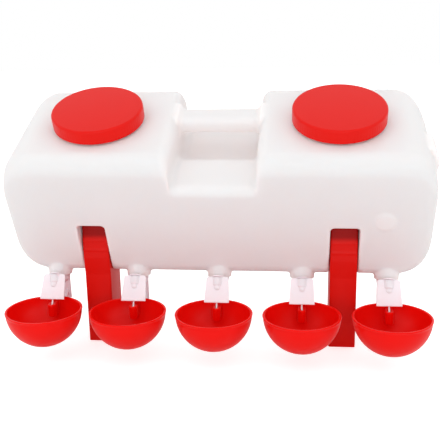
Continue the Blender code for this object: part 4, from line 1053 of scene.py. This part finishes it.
# %% Valve bodies
def valve_form(name):
    """The valve body about the outlet's axis, joined from turned, flat and plate forms, then bored."""
    on_axis = shift(0.0, valve_y - outlet_y, VALVE_UP) @ Matrix.Rotation(-VALVE_SLANT, 4, "X")
    dome = arc((CHAMBER_RADIUS, CHAMBER_DOME), 0.05 - pi / 2, 0.0, 10, (0.0, CHAMBER_LOW + CHAMBER_DOME))
    head = soften([(CHAMBER_RADIUS, HEAD_LOW - 0.0022), (CHAMBER_RADIUS, HEAD_LOW - 0.0010),
                   (HEAD_RADIUS, HEAD_LOW), (HEAD_RADIUS, HEAD_HIGH), (0.0, HEAD_HIGH)],
                  [0.0, 0.0006, 0.0006, 0.0004, 0.0], 4)
    chamber = place(turned("chamber", [(0.0, CHAMBER_LOW), *dome, *head], 48), on_axis)
    spigot = soften([(0.0, ARM_BOTTOM_UP), (SPIGOT_RADIUS, ARM_BOTTOM_UP),
                     (FLANGE_RADIUS, FLANGE_TOP_UP - FLANGE_THICK), (FLANGE_RADIUS, FLANGE_TOP_UP),
                     (SPIGOT_RADIUS, FLANGE_TOP_UP), (SPIGOT_RADIUS, SPIGOT_TOP_UP),
                     (0.0, SPIGOT_TOP_UP)], [0.0, 0.001, 0.0008, 0.0006, 0.0002, 0.0006, 0.0], 4)
    body = turned(name, spigot, 64)
    passage_up = (ARM_TOP_UP + ARM_BOTTOM_UP) / 2
    arm_front = valve_y - outlet_y + (passage_up - VALVE_UP) * tan(VALVE_SLANT)
    arm_section = rectangle(-ARM_WIDTH / 2, ARM_WIDTH / 2, ARM_BOTTOM_UP, ARM_TOP_UP)
    arm = slab("arm", arm_section, arm_front, 0.0, "xzy")
    front = plate_form(PLATE_TOP_WIDTH, PLATE_BOTTOM_WIDTH, PLATE_HIGH, PLATE_LOW)
    place(front, on_axis @ shift(0.0, -PLATE_AHEAD, 0.0))
    lean = Matrix.Identity(4)
    lean[1][2] = -REAR_PLATE_BOTTOM_BACK / (REAR_PLATE_TOP_UP - REAR_PLATE_BOTTOM_UP)
    lean[1][3] = -lean[1][2] * REAR_PLATE_TOP_UP
    rear = plate_form(REAR_PLATE_TOP_WIDTH, REAR_PLATE_BOTTOM_WIDTH,
                      REAR_PLATE_TOP_UP, REAR_PLATE_BOTTOM_UP)
    carve(body, [arm, chamber, front, place(rear, lean), ear_form(-1), ear_form(1)], "UNION")

    low, high = passage_up - PASSAGE / 2, passage_up + PASSAGE / 2
    spring_floor = HEAD_LOW + SPRING_FLOOR_RISE
    ear_reach = EYE_WIDTH / 2 + EAR_GAP + EAR_THICK + OVERLAP
    cuts = [rod("cut", SUPPLY_RADIUS, low, SPIGOT_TOP_UP + BORE_EXTRA, 32),
            place(rod("cut", CHAMBER_BORE_RADIUS, SEAT, spring_floor + OVERLAP, 32), on_axis),
            place(rod("cut", HEAD_BORE_RADIUS, spring_floor, HEAD_HIGH + BORE_EXTRA, 32), on_axis),
            place(rod("cut", STEM_BORE_RADIUS, -BORE_EXTRA, SEAT + OVERLAP, 32), on_axis),
            slab("cut", rectangle(-PASSAGE / 2, PASSAGE / 2, arm_front, 0.0), low, high),
            slab("cut", circle(HINGE_BORE_RADIUS, 24, (hinge_y - outlet_y, hinge_up)),
                 -ear_reach, ear_reach, "yzx")]
    return carve(body, cuts, "DIFFERENCE")


def plug_form(name):
    """The domed plug that closes the chamber's head, about the valve's axis."""
    spigot = HEAD_BORE_RADIUS - 0.0003
    crown = arc((PLUG_RADIUS, PLUG_THICK - PLUG_RIM), 0.0, pi / 2, 12, (0.0, HEAD_HIGH + PLUG_RIM))[:-1]
    line = [(0.0, HEAD_HIGH - 0.0012), (spigot, HEAD_HIGH - 0.0012), (spigot, HEAD_HIGH + 0.0003),
            (PLUG_RADIUS, HEAD_HIGH + 0.0003), *crown, (0.0, HEAD_HIGH + PLUG_THICK)]
    return turned(name, line, 48)


for n, x in enumerate(bowl_xs, start=1):
    valve = place(valve_form(f"valve_body_{n}_skin"), shift(x, outlet_y, 0.0))
    finish_piece(valve, valve_plastic, "tank", [f"valve_body_{n}"])
    leaning = shift(x, valve_y, VALVE_UP) @ Matrix.Rotation(-VALVE_SLANT, 4, "X")
    plug = place(plug_form(f"valve_plug_{n}_skin"), leaning)
    finish_piece(plug, valve_plastic, "tank", [f"valve_plug_{n}"])
print("valve body", len(valve.data.polygons), "faces")

# %% [markdown]
# The small pieces inside the valves keep their CAD shapes. Each only needs its real finish: white
# plastic for the stem, silicone for the seal, rubber for the washer, steel for spring and pin.

# %% Finishes of the pieces that the frame holds
CARRIED = {"valve_stem": valve_plastic, "valve_washer": seal_rubber, "nozzle_seal": seal_silicone,
           "valve_spring": spring_steel, "hinge_pin": spring_steel}
for kind, material in CARRIED.items():
    for n in range(1, BOWL_COUNT + 1):
        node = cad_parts[f"{kind}_{n}"]
        for material_slot in node.material_slots:
            material_slot.link = "OBJECT"
            material_slot.material = material
print("carried over", len(CARRIED) * BOWL_COUNT, "nodes")

# %% [markdown]
# A plain pale floor catches the shadow. The lamps are a broad soft one overhead, the strongest one low
# in front and two weak ones at the sides. The world is an even white, which fills in the shadows, so that
# colours render about as they are written. The floor is lifted to that white where the camera sees it.

# %% Floor, world and lamps
WHITE = (1.0, 1.0, 1.0, 1.0)
FLOOR_TONE = (0.86, 0.86, 0.86, 1.0)
FLOOR_LIFT = 0.60
FLOOR_REACH = 6.0
LAMP_AIM = Vector((0.0, 0.0, 0.12))

world = bpy.data.worlds.new("studio")
bpy.context.scene.world = world
world.use_nodes = True
world.node_tree.nodes["Background"].inputs["Color"].default_value = WHITE
world.node_tree.nodes["Background"].inputs["Strength"].default_value = 1.0


def floor_material():
    """A pale matt floor with a glow for the camera alone, which keeps the shadow."""
    material = bpy.data.materials.new("pale_floor")
    material.use_nodes = True
    tree = material.node_tree
    shader = tree.nodes["Principled BSDF"]
    shader.inputs["Base Color"].default_value = FLOOR_TONE
    shader.inputs["Roughness"].default_value = 0.8
    shader.inputs["Specular IOR Level"].default_value = 0.0
    shader.inputs["Emission Color"].default_value = WHITE
    path = add_node(tree, "ShaderNodeLightPath")
    glow = add_node(tree, "ShaderNodeMath", operation="MULTIPLY")
    glow.inputs[1].default_value = FLOOR_LIFT
    tree.links.new(path.outputs["Is Camera Ray"], glow.inputs[0])
    tree.links.new(glow.outputs[0], shader.inputs["Emission Strength"])
    return material


floor_mesh = bpy.data.meshes.new("floor")
floor_plan = rectangle(-FLOOR_REACH, FLOOR_REACH, -FLOOR_REACH, FLOOR_REACH)
floor_mesh.from_pydata([(x, y, 0.0) for x, y in floor_plan], [], [(0, 1, 2, 3)])
floor_mesh.materials.append(floor_material())
floor = add_object("floor", floor_mesh)


def soft_lamp(name, at, size, power):
    """A square area lamp that faces the middle of the object."""
    lamp = bpy.data.lights.new(name, "AREA")
    lamp.size = size
    lamp.energy = power
    holder = add_object(name, lamp)
    holder.location = at
    holder.rotation_euler = (LAMP_AIM - Vector(at)).to_track_quat("-Z", "Y").to_euler()


soft_lamp("overhead", (0.0, -0.15, 1.4), 1.2, 0.8)
soft_lamp("low_front", (0.0, -1.4, 0.15), 1.0, 4.4)
soft_lamp("left_front", (-1.1, -0.9, 0.9), 0.8, 0.9)
soft_lamp("right_front", (1.1, -0.9, 0.8), 0.8, 0.8)

# %% [markdown]
# The camera stands a little above the tank and to its right, as in the picture. Its place follows from
# a point to aim at, a distance, and three angles: pitch down, yaw about the upright, and a small roll.

# %% Camera
FOCAL_PIXELS = 725.0
IMAGE_PIXELS = 440.0
CAMERA_DISTANCE = 0.7505
PITCH = radians(14.6)
YAW = radians(6.4)
ROLL = radians(-1.1)
AIM_FROM_LEGS = (0.0059, -0.0253, 0.1501)
aim = Vector((middle_x, leg_front, 0.0)) + Vector(AIM_FROM_LEGS)
turn_yaw = Matrix.Rotation(YAW, 3, "Z")
right = turn_yaw @ Vector((1.0, 0.0, 0.0))
ahead = turn_yaw @ Vector((0.0, cos(PITCH), -sin(PITCH)))
upward = turn_yaw @ Vector((0.0, sin(PITCH), cos(PITCH)))
camera_x = right * cos(ROLL) + upward * sin(ROLL)
camera_y = upward * cos(ROLL) - right * sin(ROLL)
lens = bpy.data.cameras.new("camera")
lens.sensor_width = 36.0
lens.lens = FOCAL_PIXELS / IMAGE_PIXELS * lens.sensor_width
camera = add_object("camera", lens)
view = Matrix((camera_x, camera_y, -ahead)).transposed().to_4x4()
view.translation = aim - ahead * CAMERA_DISTANCE
camera.matrix_world = view
bpy.context.scene.camera = camera
bpy.context.scene.view_settings.view_transform = "Standard"
print("camera at", [round(value, 3) for value in view.translation])
